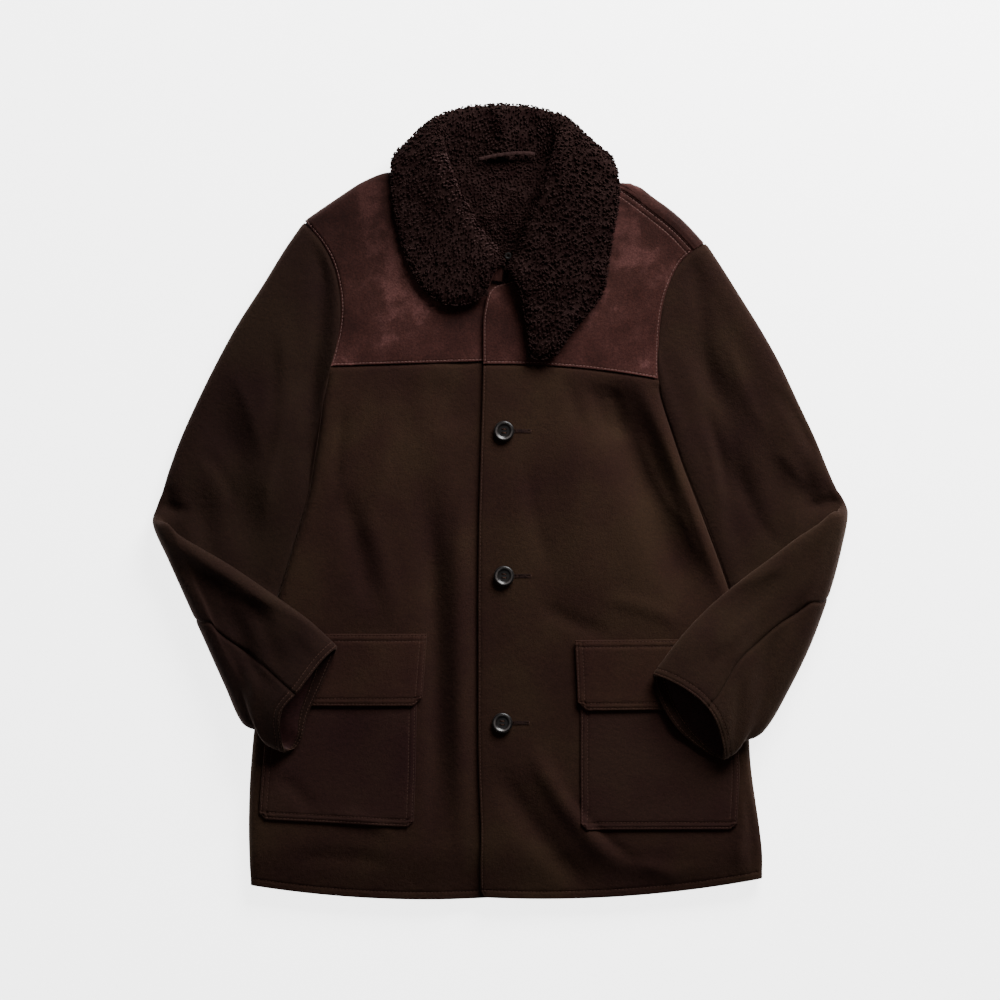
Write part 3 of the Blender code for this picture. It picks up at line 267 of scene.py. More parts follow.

# %% [markdown]
# ## The folds
# Thick wool keeps a few soft folds when it is laid down. Each is a line with a width and a height.
# A simulation would fold the coat as well, but not where this one folds.

# %% The large folds, which the solids also have
# The largest folds of the body, fronts first: each is a soft line from 0 to 1 whose middle bends
# sideways, with its width and how much it rises (a trough falls).
FOLD_COLUMNS = "x0 y0 x1 y1 bend width rise"
BODY_FOLDS = table(FOLD_COLUMNS, [
    (-86, 60, -66, -400, 8, 16, -7),
    (-46, 90, -42, -420, 0, 14, 4.5),
    (-66, 146, -50, 70, 0, 20, -2.5),
    (-130, 130, -128, -330, -6, 34, 3),
    (-176, 20, -140, -128, 4, 13, -4),
    (-150, 0, -112, -150, 4, 12, 2),
    (118, 158, 228, -142, -5, 25, -12),
    (146, 150, 254, -124, 2, 9, 5),
    (96, 140, 128, 60, 0, 12, -3),
    (70, 110, 92, -150, 8, 30, 4),
    (30, -262, 140, -412, -10, 12, 6),
    (-8, -284, 108, -436, -10, 15, -5),
    (14, 90, 22, -230, 6, 22, 1.5),
    (281, -290, 281, -430, 0, 7, -4),
])
UPPER_FOLDS_L = table(FOLD_COLUMNS, [
    (200, 222, 276, -80, 14, 11, -6.5),
    (284, 22, 400, -20, 2, 10, -6),
    (292, 140, 340, 10, 4, 14, 2),
])
UPPER_FOLDS_R = table(FOLD_COLUMNS, [
    (-216, 236, -222, -20, 12, 13, -6),
    (-306, 150, -256, -64, -14, 13, -6),
    (-270, 180, -246, -50, -4, 10, 3),
    (-402, 10, -300, -34, 2, 10, -6),
])
FOREARM_FOLDS_L = table(FOLD_COLUMNS, [
    (256, -100, 340, -134, 3, 9, -6),
    (340, -70, 262, -180, 0, 16, 2),
])
FOREARM_FOLDS_R = table(FOLD_COLUMNS, [
    (-372, -76, -206, -196, -4, 20, -4),
    (-360, -44, -188, -152, -2, 9, 3),
])
print("large folds", len(BODY_FOLDS["x0"]))

# %% Smaller creases, which only the cloth has
BODY_CREASES = table(FOLD_COLUMNS, [
    (-74, 20, -76, -420, 4, 9, -2.2),
    (-44, 40, -44, -430, 0, 11, 2.2),
    (-96, 150, -110, 60, 0, 14, -1.6),
    (106, 132, 186, -20, -4, 24, -3.4),
    (70, 150, 96, 60, 0, 10, -1.8),
    (150, -398, 206, -420, 0, 8, 1.6),
    (-44, 60, -58, -60, 3, 8, -1.4),
    (-120, 60, -160, -60, 5, 9, 1.6),
    (-168, 110, -180, 0, -3, 7, -2.2),
    (-28, 30, -30, -400, 3, 6, -1.6),
    (28, 60, 60, -90, -6, 10, -1.6),
    (118, 132, 136, 60, 4, 8, -2.4),
    (150, 90, 214, -40, -10, 6, 1.6),
    (190, 30, 226, -76, -4, 5, 1.6),
    (40, -110, 130, -150, -6, 10, -2),
    (110, -108, 206, -140, 6, 9, 1.8),
    (64, -300, 160, -404, -10, 6, -2),
    (268, -300, 262, -420, 0, 6, 2.4),
    (110, -398, 250, -404, -6, 10, 1.4),
    (-240, -396, -110, -402, 5, 10, -1.8),
    (-190, -346, -110, -372, 6, 8, 1.4),
    (-250, -300, -200, -350, 4, 9, -1.4),
])
ARM_CREASES = table(FOLD_COLUMNS, [
    (-386, -30, -170, -156, -2, 7, 2.4),
    (-372, -60, -276, -116, -3, 12, -2.6),
    (-394, -4, -338, -14, 0, 7, -2.8),
    (394, 0, 334, -8, 0, 7, -2.8),
    (-236, 210, -262, 20, 8, 12, 2.2),
    (212, 130, 262, -60, 6, 9, -2.6),
    (-196, 330, -214, 70, 8, 11, -4),
    (-176, 262, -196, 60, 4, 8, 1.5),
    (206, 300, 236, 60, 4, 10, -2.6),
    (298, 130, 352, 40, 3, 8, -2.6),
    (222, 90, 246, -20, 3, 6, 1.8),
    (-250, 190, -262, 20, 8, 8, -1.6),
    (-300, 150, -262, 40, 6, 7, 1.3),
    (-330, 60, -290, -10, 5, 8, -1.6),
    (-224, 130, -262, -30, -4, 6, 1.4),
    (246, 190, 300, 60, -4, 7, 1.4),
    (222, 120, 252, 10, 3, 6, -1.6),
    (300, 60, 344, 6, 3, 7, 1.5),
    (262, 40, 312, -60, -6, 8, -1.6),
    (320, -66, 250, -96, 3, 7, 1.4),
    (300, -112, 220, -190, 5, 8, -1.4),
    (-318, -96, -230, -118, 2, 7, 1.3),
    (-300, -150, -236, -214, -4, 9, -1.6),
])
print("creases", len(BODY_CREASES["x0"]) + len(ARM_CREASES["x0"]))

# %% [markdown]
# ## Smooth curves
# Cloth has no corners along its length. A cubic curve through the rows of a table gives smooth
# outlines, and a bell curve across a line gives a soft fold.

# %% Curves through a table
def smooth_step(value):
    """0 below 0, 1 above 1 and a soft rise between."""
    t = np.clip(value, 0.0, 1.0)
    return t * t * (3.0 - 2.0 * t)


def smooth_curve(at, stations, values):
    """Points of a smooth curve through values that lie at some stations."""
    at = np.atleast_1d(np.asarray(at, float))
    stations = np.asarray(stations, float)
    values = np.asarray(values, float)
    slopes = np.gradient(values, stations, axis=0)
    k = np.clip(np.searchsorted(stations, at, side="right") - 1, 0, len(stations) - 2)
    shape = (-1,) + (1,) * (values.ndim - 1)
    width = (stations[k + 1] - stations[k]).reshape(shape)
    t = (at - stations[k]).reshape(shape) / width
    h00 = 2 * t**3 - 3 * t**2 + 1
    h10 = (t**3 - 2 * t**2 + t) * width
    h01 = 3 * t**2 - 2 * t**3
    h11 = (t**3 - t**2) * width
    return h00 * values[k] + h10 * slopes[k] + h01 * values[k + 1] + h11 * slopes[k + 1]


def resample(rows, at):
    """Every column of a table, read smoothly at row positions such as 2.5."""
    count = len(next(iter(rows.values())))
    return {name: smooth_curve(at, range(count), column) for name, column in rows.items()}


print("side of the left front halfway down", resample(FRONT_L, 5.0)["side"], "mm")

# %% Folds along a line
FOLD_ENDS = 0.3  # the share of a fold's length over which it fades at each end


def fold_height(folds, x, y):
    """The height that a table of folds adds at a place."""
    total = np.zeros(np.broadcast(x, y).shape)
    for x0, y0, x1, y1, bend, width, rise in zip(*folds.values()):
        length = math.hypot(x1 - x0, y1 - y0)
        ux = (x1 - x0) / length
        uy = (y1 - y0) / length
        along = ((x - x0) * ux + (y - y0) * uy) / length
        across = -(x - x0) * uy + (y - y0) * ux
        across = across - bend * 4.0 * along * (1.0 - along)
        ends = smooth_step(along / FOLD_ENDS) * smooth_step((1.0 - along) / FOLD_ENDS)
        total = total + rise * ends * np.exp(-(across / width) ** 2)
    return total


print("depth of the first fold", fold_height(BODY_FOLDS, -68.0, -170.0).round(1), "mm")

# %% How high the coat lies
def body_top(x, y):
    """Height of the front of the coat where it lies as one layer."""
    hem = -6.0 * smooth_step((-380.0 - y) / 60.0)
    neck = 4.2 * smooth_step((y - 225.0) / 90.0) * smooth_step((165.0 - np.abs(x)) / 70.0)
    below_yoke = smooth_step((150.0 - y) / 40.0)
    folds = fold_height(BODY_FOLDS, x, y) + fold_height(BODY_CREASES, x, y)
    return BODY_HEIGHT + hem + neck + below_yoke * folds


def back_lift(x, y):
    """How high the back yoke is raised by the collar's fall, which lies under it."""
    return FALL_LIFT * smooth_step((y - 250.0) / 75.0) * smooth_step((172.0 - np.abs(x)) / 55.0)


def left_top(x, y):
    """Top of the left front, which laps over the right one."""
    return body_top(x, y) + LAP_RISE * smooth_step((60.0 - x) / 60.0)


def right_top(x, y):
    """Top of the right front, which runs under the left one."""
    return body_top(x, y) - LAP_DROP * smooth_step((x + 72.0) / 42.0)


print("the left front at the top button", left_top(*BUTTON_POINTS[0]).round(2), "mm high")

# %% [markdown]
# ## Pieces as grids
# Each piece is a grid of points that holds its face and its back together, a wall apart. A grid
# is easy to make finer, to press a seam into and to walk along with a needle. The lines nearest
# to each edge lie at fixed distances, because the rows of stitches run there.

# %% Make a grid finer, and space its lines from its edges
EDGE_LINES = (0.0, 0.7, 1.4, 2.1, 2.9, 4.2, 5.8, 7.2, 8.0, 8.8, 10.2)
NEAR_ROW, FAR_ROW = 3, 8  # the edge lines that carry stitches, 2.1 and 8 mm in


def walk(line):
    """The distance walked along a line of points, from its start."""
    return np.concatenate([[0.0], np.cumsum(np.linalg.norm(np.diff(line, axis=0), axis=1))])


def steps_along(pair, axis):
    """The distance walked along an axis of a grid, from its start, on every line."""
    steps = np.linalg.norm(np.diff(pair[..., :3], axis=axis), axis=-1)
    start = np.zeros_like(np.take(steps, [0], axis=axis))
    return np.concatenate([start, np.cumsum(steps, axis=axis)], axis=axis)


def refine(pair, step):
    """A smooth finer grid through a coarse one, with about one line every step millimetres."""
    for axis in (0, 1):
        stations = steps_along(pair, axis).mean(axis=1 - axis)
        count = max(3, round(stations[-1] / step) + 1)
        lines = smooth_curve(np.linspace(0, stations[-1], count), stations,
                             np.moveaxis(pair, axis, 0))
        pair = np.moveaxis(lines, 0, axis)
    return pair


def respace(pair, axis, step, first=True, last=True):
    """The same grid with its lines at fixed distances from its edges and even ones between."""
    moved = np.moveaxis(pair, axis, 0)
    walked = np.moveaxis(steps_along(pair, axis), axis, 0)
    total = walked[-1][None]
    head = np.array(EDGE_LINES if first else (0.0,))[:, None]
    tail = np.array(EDGE_LINES if last else (0.0,))[:, None]
    room = total - head[-1] - tail[-1]
    spans = max(2, round(float(room.mean()) / step))
    even = head[-1] + room * (np.arange(1, spans) / spans)[:, None]
    targets = np.concatenate([head + 0 * total, even, (total - tail)[::-1]])
    targets = np.maximum.accumulate(np.clip(targets, 0, total), axis=0)
    found = np.empty((len(targets),) + moved.shape[1:])
    for line in range(moved.shape[1]):
        for part in range(moved.shape[2]):
            found[:, line, part] = np.interp(targets[:, line], walked[:, line],
                                             moved[:, line, part])
    return np.moveaxis(found, 0, axis)


print("lines near an edge", len(EDGE_LINES))

# %% Distances from the edges, and the way out of the cloth
EDGES = {"first_row": (0, False), "last_row": (0, True),
         "first_line": (1, False), "last_line": (1, True)}
PRESS_LIMIT = 0.75  # the most of its wall that a face may be pressed in


def edge_distance(pair, edge):
    """How far each point of a grid lies from one of its edges."""
    axis, from_end = EDGES[edge]
    walked = steps_along(pair, axis)
    if from_end:
        return np.take(walked, [-1], axis=axis) - walked
    return walked


def way_out(pair):
    """The direction from the back of the cloth to its face, at every point."""
    across = pair[..., :3] - pair[..., 3:]
    return across / np.linalg.norm(across, axis=-1)[..., None]


def press(pair, amount):
    """Push the face of the cloth towards its back, or lift it with a negative amount."""
    wall = np.linalg.norm(pair[..., :3] - pair[..., 3:], axis=-1)
    amount = np.minimum(amount, wall * PRESS_LIMIT)
    pair[..., :3] -= way_out(pair) * amount[..., None]


def shift_cloth(pair, height):
    """Move the whole wall out by a height, which keeps it as thick as it was."""
    move = way_out(pair) * np.asarray(height)[..., None]
    pair[..., :3] += move
    pair[..., 3:] += move


def sink(pair, edge, depth, width):
    """Press the face down beside an edge, as a seam draws it in."""
    press(pair, depth * np.exp(-(edge_distance(pair, edge) / width) ** 2))


# %% Cloth that runs on under its neighbour
TUCK = ((0.15, 0.0), (0.3, 1.0), (3.0, 1.0), (6.0, 1.0))  # how far out, and how much of the drop


def tuck(pair, edge, drop):
    """Run the cloth on under its neighbour at an edge, as a seam allowance does."""
    axis, from_end = EDGES[edge]
    moved = np.moveaxis(pair, axis, 0)
    moved = moved[::-1] if from_end else moved
    near = moved[0, :, :3] - moved[2, :, :3]
    near = near / np.linalg.norm(near, axis=-1)[:, None]
    inward = -way_out(moved[:1])[0]
    rows = []
    for reach, share in TUCK:
        row = moved[0].copy()
        for part in (slice(0, 3), slice(3, 6)):
            row[:, part] += near * reach + inward * (drop * share)
        rows.append(row)
    moved = np.concatenate([np.array(rows[::-1]), moved])
    moved = moved[::-1] if from_end else moved
    return np.moveaxis(moved, 0, axis)


print("seam allowances", TUCK[-1][0], "mm")

# %% [markdown]
# ## Finishes
# Melton is wool that has been felted until its weave disappears: dark, dull and a little hairy,
# with a slow drift between olive and red-brown. Suede has a brushed nap that shows lighter where
# it was stroked. All finishes are made of noise nodes, which need no image and no unwrapping.

# %% Helpers for node materials
def start_material(name, colour, roughness):
    """A material with its principled shader, and the object coordinates that noises read."""
    material = bpy.data.materials.new(name)
    material.use_nodes = True
    shader = material.node_tree.nodes["Principled BSDF"]
    shader.inputs["Base Color"].default_value = (*colour, 1.0)
    shader.inputs["Roughness"].default_value = roughness
    return material, shader, add_node(material, "TexCoord", {}).outputs["Object"]


def add_node(material, kind, inputs, **settings):
    """A node whose inputs hold a value or are linked to the output of another node."""
    node = material.node_tree.nodes.new("ShaderNode" + kind)
    for name, value in settings.items():
        setattr(node, name, value)
    for name, value in inputs.items():
        if isinstance(value, bpy.types.NodeSocket):
            material.node_tree.links.new(value, node.inputs[name])
        else:
            node.inputs[name].default_value = value
    return node


def grain(material, place, scale, detail=3.0, rough=0.6, stretch=(1, 1, 1)):
    """A noise of so many grains a metre."""
    if stretch != (1, 1, 1):
        mapping = add_node(material, "Mapping", {"Scale": stretch, "Vector": place})
        place = mapping.outputs["Vector"]
    speckle = add_node(material, "TexNoise", {"Scale": scale, "Detail": detail,
                                              "Roughness": rough, "Vector": place})
    return speckle.outputs["Fac"]


def scale_stops(stops, colour_scale):
    """The stops of a shade with their colours multiplied, by one number or by three."""
    return [(at, tuple(np.multiply(colour, colour_scale).tolist())) for at, colour in stops]


def shade(material, factor, stops):
    """Colours chosen by a factor: each stop is a place from 0 to 1 and a colour."""
    ramp = add_node(material, "ValToRGB", {"Fac": factor})
    while len(ramp.color_ramp.elements) < len(stops):
        ramp.color_ramp.elements.new(0.5)
    for element, (place, colour) in zip(ramp.color_ramp.elements, stops):
        element.position = place
        element.color = (*colour, 1.0)
    return ramp.outputs["Color"]


def multiply_colours(material, first, second):
    """One colour multiplied by another."""
    mix = add_node(material, "Mix", {"Factor": 1.0, 6: first, 7: second},
                   data_type="RGBA", blend_type="MULTIPLY")
    return mix.outputs[2]


def relief(material, shader, layers):
    """Bumps on top of each other: each is a socket and a height in millimetres."""
    below = {}
    for height, depth in layers:
        bump = add_node(material, "Bump", {"Strength": 1.0, "Distance": depth * MM,
                                           "Height": height, **below})
        below = {"Normal": bump.outputs["Normal"]}
    material.node_tree.links.new(below["Normal"], shader.inputs["Normal"])


def fade(material, place, axis, low, high):
    """0 below a low place along an axis, 1 above a high one, in metres."""
    split = add_node(material, "SeparateXYZ", {0: place})
    ramp = add_node(material, "MapRange", {"From Min": low, "From Max": high,
                                           "Value": split.outputs[axis]})
    return ramp.outputs["Result"]


def nap_surface(shader, gloss, sheen, spread, tint):
    """Take the gloss off a surface and give it the glow of short fibres at its edges."""
    shader.inputs["Specular IOR Level"].default_value = gloss
    shader.inputs["Sheen Weight"].default_value = sheen
    shader.inputs["Sheen Roughness"].default_value = spread
    shader.inputs["Sheen Tint"].default_value = (*tint, 1.0)


# %% Melton
def make_melton(name, colour_scale):
    """Felted wool. The colour scale multiplies its red, green and blue; the darker and lighter
    copies use it for painted shade and painted light.
    """
    material, shader, place = start_material(name, (0.022, 0.015, 0.011), 0.95)
    drift = grain(material, place, 9.0, 4.0, 0.6)
    stops = [(0.36, (0.0122, 0.0043, 0.0031)), (0.5, (0.0148, 0.0062, 0.0037)),
             (0.64, (0.0172, 0.0086, 0.0045))]
    tone = shade(material, drift, scale_stops(stops, colour_scale))
    fibres = grain(material, place, 620.0, 5.0, 0.75)
    fleck = shade(material, fibres, [(0.34, (0.7, 0.68, 0.68)), (0.52, (1.0, 1.0, 1.0)),
                                     (0.72, (1.5, 1.4, 1.3))])
    colour = multiply_colours(material, tone, fleck)
    material.node_tree.links.new(colour, shader.inputs["Base Color"])
    nap_surface(shader, 0.08, 0.05, 0.5, (0.8, 0.5, 0.36))
    felt = grain(material, place, 190.0, 5.0, 0.7)
    relief(material, shader, [(felt, 0.9), (fibres, 0.35)])
    return material


MELTON = make_melton("felted_melton", (1.0, 1.0, 1.0))
# The sleeves get darker copies of the melton, the right one darkest: painted shade.
SLEEVE_MELTON_PAINTED_SHADE = {"r": make_melton("sleeve_melton_r", (0.64, 0.62, 0.66)),
                 "l": make_melton("sleeve_melton_l", (0.8, 0.8, 0.82))}
# The pockets get a darker, purpler copy of the melton: painted shade.
POCKET_MELTON_PAINTED_SHADE = make_melton("pocket_melton", (0.98, 0.88, 1.15))
# The flaps get a lighter copy of the melton: painted light.
FLAP_MELTON_PAINTED_LIGHT = make_melton("flap_melton", (1.18, 1.14, 1.22))
print("nodes in the melton", len(MELTON.node_tree.nodes))


# %% Suede
def make_suede():
    """Brushed leather: stroked patches, darker towards the shoulders, and paler at the left arm, on
    the side of the key lamp: painted light.
    """
    material, shader, place = start_material("napped_suede", (0.05, 0.022, 0.018), 0.9)
    stroked = grain(material, place, 11.0, 7.0, 0.62)
    tone = shade(material, stroked, [
        (0.36, (0.0135, 0.0042, 0.0033)), (0.47, (0.0225, 0.0074, 0.0058)),
        (0.56, (0.031, 0.0112, 0.0092)), (0.63, (0.062, 0.025, 0.0225))])
    nap = grain(material, place, 480.0, 4.0, 0.7)
    fleck = shade(material, nap, [(0.34, (0.66, 0.64, 0.64)), (0.52, (1.0, 1.0, 1.0)),
                                  (0.72, (1.5, 1.45, 1.4))])
    colour = multiply_colours(material, tone, fleck)
    # The tone darkens towards the shoulders.
    height = fade(material, place, "Y", 0.17, 0.31)
    darker_to_shoulders = shade(material, height, [(0.0, (1.0, 0.96, 0.98)), (0.45, (0.8, 0.76, 0.74)),
                                    (1.0, (0.46, 0.4, 0.38))])
    colour = multiply_colours(material, colour, darker_to_shoulders)
    # Paler towards the left arm, the side the key lamp stands on: painted light.
    lamp_side = fade(material, place, "X", 0.06, 0.18)
    painted_light_lamp_side = shade(material, lamp_side, [(0.0, (1.0, 1.0, 1.0)), (1.0, (1.22, 1.24, 1.26))])
    colour = multiply_colours(material, colour, painted_light_lamp_side)
    material.node_tree.links.new(colour, shader.inputs["Base Color"])
    nap_surface(shader, 0.08, 0.08, 0.4, (0.85, 0.5, 0.42))
    pores = grain(material, place, 120.0, 5.0, 0.7)
    relief(material, shader, [(pores, 0.5), (nap, 0.3)])
    return material


SUEDE_FINISH = make_suede()
print("nodes in the suede", len(SUEDE_FINISH.node_tree.nodes))


# %% Fleece
def make_fleece(name, colour_scale):
    """Curly pile. The colour scale multiplies its colour, as one number or as three; the paler
    crest copy uses it for a painted highlight.
    """
    material, shader, place = start_material(name, (0.02, 0.01, 0.01), 0.85)
    locks = grain(material, place, 60.0, 4.0, 0.65)
    stops = [(0.35, (0.0062, 0.0024, 0.0022)), (0.52, (0.0094, 0.0043, 0.0038)),
             (0.68, (0.0135, 0.0066, 0.0060))]
    tone = shade(material, locks, scale_stops(stops, colour_scale))
    hair = grain(material, place, 1500.0, 3.0, 0.6)
    fleck = shade(material, hair, [(0.35, (0.75, 0.75, 0.75)), (0.6, (1.3, 1.3, 1.3))])
    colour = multiply_colours(material, tone, fleck)
    material.node_tree.links.new(colour, shader.inputs["Base Color"])
    shader.inputs["Specular IOR Level"].default_value = 0.03
    relief(material, shader, [(hair, 0.4)])
    return material


FLEECE = make_fleece("curly_fleece", 1.0)
NECK_FLEECE_FINISH = make_fleece("neck_fleece", 1.15)
CREST_HIGHLIGHT_FLEECE = make_fleece("crest_fleece_painted_highlight", (2.2, 2.5, 2.6))  # paler: a painted highlight where the collar turns over
print("nodes in the fleece", len(FLEECE.node_tree.nodes))


# %% Lining, thread and horn
def make_plain(name, dark, light, roughness, scale, depth, stretch=(1, 1, 1), gloss=0.08):
    """A finish that drifts between two tones, with one fine relief."""
    material, shader, place = start_material(name, dark, roughness)
    shader.inputs["Specular IOR Level"].default_value = gloss
    drift = grain(material, place, scale, 4.0, 0.65, stretch)
    colour = shade(material, drift, [(0.35, dark), (0.65, light)])
    material.node_tree.links.new(colour, shader.inputs["Base Color"])
    relief(material, shader, [(grain(material, place, scale * 4, 3.0, 0.6, stretch), depth)])
    return material


TWILL = make_plain("lining_twill", (0.009, 0.0022, 0.0022), (0.02, 0.006, 0.0055), 0.6,
                   260.0, 0.25, (1.0, 3.2, 1.0))
THREAD = make_plain("sewing_thread", (0.034, 0.0162, 0.0115), (0.048, 0.024, 0.0175),
                    0.8, 900.0, 0.1)
SUEDE_THREAD = make_plain("suede_thread", (0.085, 0.045, 0.04), (0.12, 0.066, 0.058),
                          0.8, 900.0, 0.1)
# The dark thread edges the buttonholes and also makes the dark bar in each slot, which is painted
# shade.
DARK_THREAD_AND_SLOT_SHADE = make_plain("buttonhole_thread", (0.006, 0.0022, 0.0018), (0.02, 0.009, 0.007),
                         0.8, 500.0, 0.1)
LOOP_SUEDE = make_plain("loop_suede", (0.012, 0.005, 0.0045), (0.024, 0.011, 0.010),
                        0.85, 400.0, 0.3)
HORN = make_plain("polished_horn", (0.003, 0.0022, 0.0022), (0.007, 0.0055, 0.005),
                  0.34, 90.0, 0.03, gloss=0.28)
# A paler horn for the top of a button's rim: a painted highlight.
RIM_HORN_PAINTED_HIGHLIGHT = make_plain("horn_rim_painted_highlight", (0.022, 0.019, 0.018), (0.05, 0.043, 0.041),
                      0.36, 220.0, 0.03, gloss=0.4)
print("finishes", [material.name for material in bpy.data.materials if material.use_nodes])

# %% [markdown]
# ## From grid to mesh
# A wall of cloth is a closed mesh: its face has every line, its back only every third one because
# nobody sees it, and a rim joins them. The edge of the face is pressed down a little, since a cut
# and turned edge of wool is round and never sharp.

# %% The faces of a wall
BACK_SKIP = 3  # the back uses every third line of the grid


def wall_faces(rows, cols):
    """The faces of a wall, and which points of its back they use."""
    face_index = np.arange(rows * cols).reshape(rows, cols)
    keep_rows = list(range(0, rows - 2, BACK_SKIP)) + [rows - 1]
    keep_cols = list(range(0, cols - 2, BACK_SKIP)) + [cols - 1]
    used = np.zeros((rows, cols), bool)
    used[np.ix_(keep_rows, keep_cols)] = True
    used[[0, -1]] = True
    used[:, [0, -1]] = True
    back_index = np.zeros((rows, cols), int)
    back_index[used] = rows * cols + np.arange(used.sum())
    quads = np.stack([face_index[:-1, :-1], face_index[:-1, 1:], face_index[1:, 1:],
                      face_index[1:, :-1]], axis=-1)
    faces = quads.reshape(-1, 4).tolist()
    for r0, r1 in zip(keep_rows, keep_rows[1:]):
        for c0, c1 in zip(keep_cols, keep_cols[1:]):
            loop = [back_index[r0, c] for c in (range(c0, c1) if r0 == 0 else [c0])]
            loop += [back_index[r, c1] for r in (range(r0, r1) if c1 == cols - 1 else [r0])]
            loop += [back_index[r1, c] for c in (range(c1, c0, -1) if r1 == rows - 1 else [c1])]
            loop += [back_index[r, c0] for r in (range(r1, r0, -1) if c0 == 0 else [r1])]
            faces.append([int(point) for point in reversed(loop)])
    border = [(0, c) for c in range(cols - 1)] + [(r, cols - 1) for r in range(rows - 1)]
    border += [(rows - 1, c) for c in range(cols - 1, 0, -1)]
    border += [(r, 0) for r in range(rows - 1, 0, -1)]
    for a, b in zip(border, border[1:] + border[:1]):
        rim = face_index[b], face_index[a], back_index[a], back_index[b]
        faces.append([int(point) for point in rim])
    return faces, used


# %% A closed wall of cloth
EDGE_ROUND = 1.4  # how far in from its edge the cloth is rounded


def add_mesh(name, points, faces, finish, replaces=(), sharp=70):
    """A piece of the coat from points in millimetres and faces, riding on the coat."""
    mesh = bpy.data.meshes.new(name)
    mesh.from_pydata(((np.asarray(points) - np.array(ORIGIN)) * MM).tolist(), [], faces)
    work = bmesh.new()
    work.from_mesh(mesh)
    bmesh.ops.recalc_face_normals(work, faces=work.faces)
    if work.calc_volume(signed=True) < 0:
        bmesh.ops.reverse_faces(work, faces=work.faces)
    work.to_mesh(mesh)
    work.free()
    mesh.shade_smooth()
    mesh.set_sharp_from_angle(angle=math.radians(sharp))
    mesh.materials.append(finish)
    piece = bpy.data.objects.new(name, mesh)
    bpy.context.collection.objects.link(piece)
    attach(piece, "root")
    if replaces:
        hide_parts(*replaces)
    return piece


def cloth(name, pair, finish, round_edge=0.9):
    """A closed wall of cloth from a grid pair, with its edges rounded off. It replaces the solid
    that has the same name without _cloth."""
    nearest = np.min([edge_distance(pair, edge) for edge in EDGES], axis=0)
    press(pair, round_edge * np.clip(1 - nearest / EDGE_ROUND, 0, 1) ** 2)
    faces, used = wall_faces(*pair.shape[:2])
    points = np.concatenate([pair[..., :3].reshape(-1, 3), pair[..., 3:][used]])
    piece = add_mesh(name, points, faces, finish, (name.removesuffix("_cloth"),))
    print(name, "triangles", sum(len(face.vertices) - 2 for face in piece.data.polygons))
    return piece


# %% [markdown]
# ## Stitches
# The coat is topstitched with a thick pale thread. Each stitch is a short round bar whose ends
# dive into the cloth, laid along one of the lines of the grid. A painted line would be quicker,
# but stitches catch the light and make the edge look quilted, and we can count them.

# %% Single stitches
STITCH_LENGTH, STITCH_PITCH, THREAD_RADIUS = 3.5, 3.9, 0.34
GROOVE_DEPTH, GROOVE_WIDTH = 0.75, 0.9
RING_SIDES = 5
# The four rings of a stitch: where each lies along it, how high and how wide it is.
RING_PLACES = np.array([0.0, 0.22, 0.78, 1.0])
RING_HEIGHTS = np.array([-0.45, 0.12, 0.12, -0.45])
RING_WIDTHS = np.array([0.5, 1.0, 1.0, 0.5])
sewn = {}  # the lines that wait for their stitches, by the name of their piece


def sew(name, pair, edge, row, skip=(0, 0)):
    """Press a groove along an edge line of a piece and remember the line for its stitches."""
    axis, from_end = EDGES[edge]
    distance = edge_distance(pair, edge)
    press(pair, GROOVE_DEPTH * np.exp(-((distance - EDGE_LINES[row]) / GROOVE_WIDTH) ** 2))
    line = np.take(pair, -1 - row if from_end else row, axis=axis)
    line = line[skip[0]:len(line) - skip[1]]
    sewn.setdefault(name, []).append((line[:, :3], way_out(line)))


print("stitches in 100 mm", round(100 / STITCH_PITCH))

# %% Rows of stitches
def stitch_bars(line, ups, length=STITCH_LENGTH, pitch=STITCH_PITCH, radius=THREAD_RADIUS,
                start=0.5):
    """The points and faces of the stitches along one line."""
    walked = walk(line)
    starts = np.arange(start, walked[-1] - length + 0.001, pitch)
    widths = RING_WIDTHS * radius
    at = starts[:, None] + RING_PLACES * length
    centre = np.stack([np.interp(at, walked, line[:, c]) for c in range(3)], axis=-1)
    up = np.stack([np.interp(at, walked, ups[:, c]) for c in range(3)], axis=-1)
    along = centre[:, -1:] - centre[:, :1]
    along = along / np.linalg.norm(along, axis=-1)[..., None]
    side = np.cross(along, up)
    side /= np.linalg.norm(side, axis=-1)[..., None]
    centre = centre + up * RING_HEIGHTS[:, None]
    angles = np.arange(RING_SIDES) * 2 * math.pi / RING_SIDES
    rings = (centre[:, :, None]
             + side[:, :, None] * (np.cos(angles)[:, None] * widths[:, None, None])
             + up[:, :, None] * (np.sin(angles)[:, None] * widths[:, None, None]))
    faces = []
    for stitch in range(len(starts)):
        base = stitch * 4 * RING_SIDES
        for ring in range(3):
            for k in range(RING_SIDES):
                a = base + ring * RING_SIDES + k
                b = base + ring * RING_SIDES + (k + 1) % RING_SIDES
                faces.append((a, b, b + RING_SIDES, a + RING_SIDES))
        faces.append(tuple(range(base + RING_SIDES - 1, base - 1, -1)))
        faces.append(tuple(range(base + 3 * RING_SIDES, base + 4 * RING_SIDES)))
    return rings.reshape(-1, 3), faces


def add_stitches(name, lines, slot, yarn, **sizes):
    """One object with the stitches of all the lines of a piece."""
    points, faces, count = [], [], 0
    for line, ups in lines:
        bars, bar_faces = stitch_bars(line, ups, **sizes)
        points.append(bars)
        faces += [tuple(k + count for k in face) for face in bar_faces]
        count += len(bars)
    piece = add_mesh(name, np.concatenate(points), faces, yarn)
    print(name, "stitches", count // (4 * RING_SIDES))
    return piece


# %% [markdown]
# ## The fronts
# A front is drawn level by level: its opening edge, its side and the bow between them come from
# the table, and its height from the folds. The last ten millimetres roll down to the side seam.
# The left front laps over the right one, so its lower corner is seen and is gently rounded.

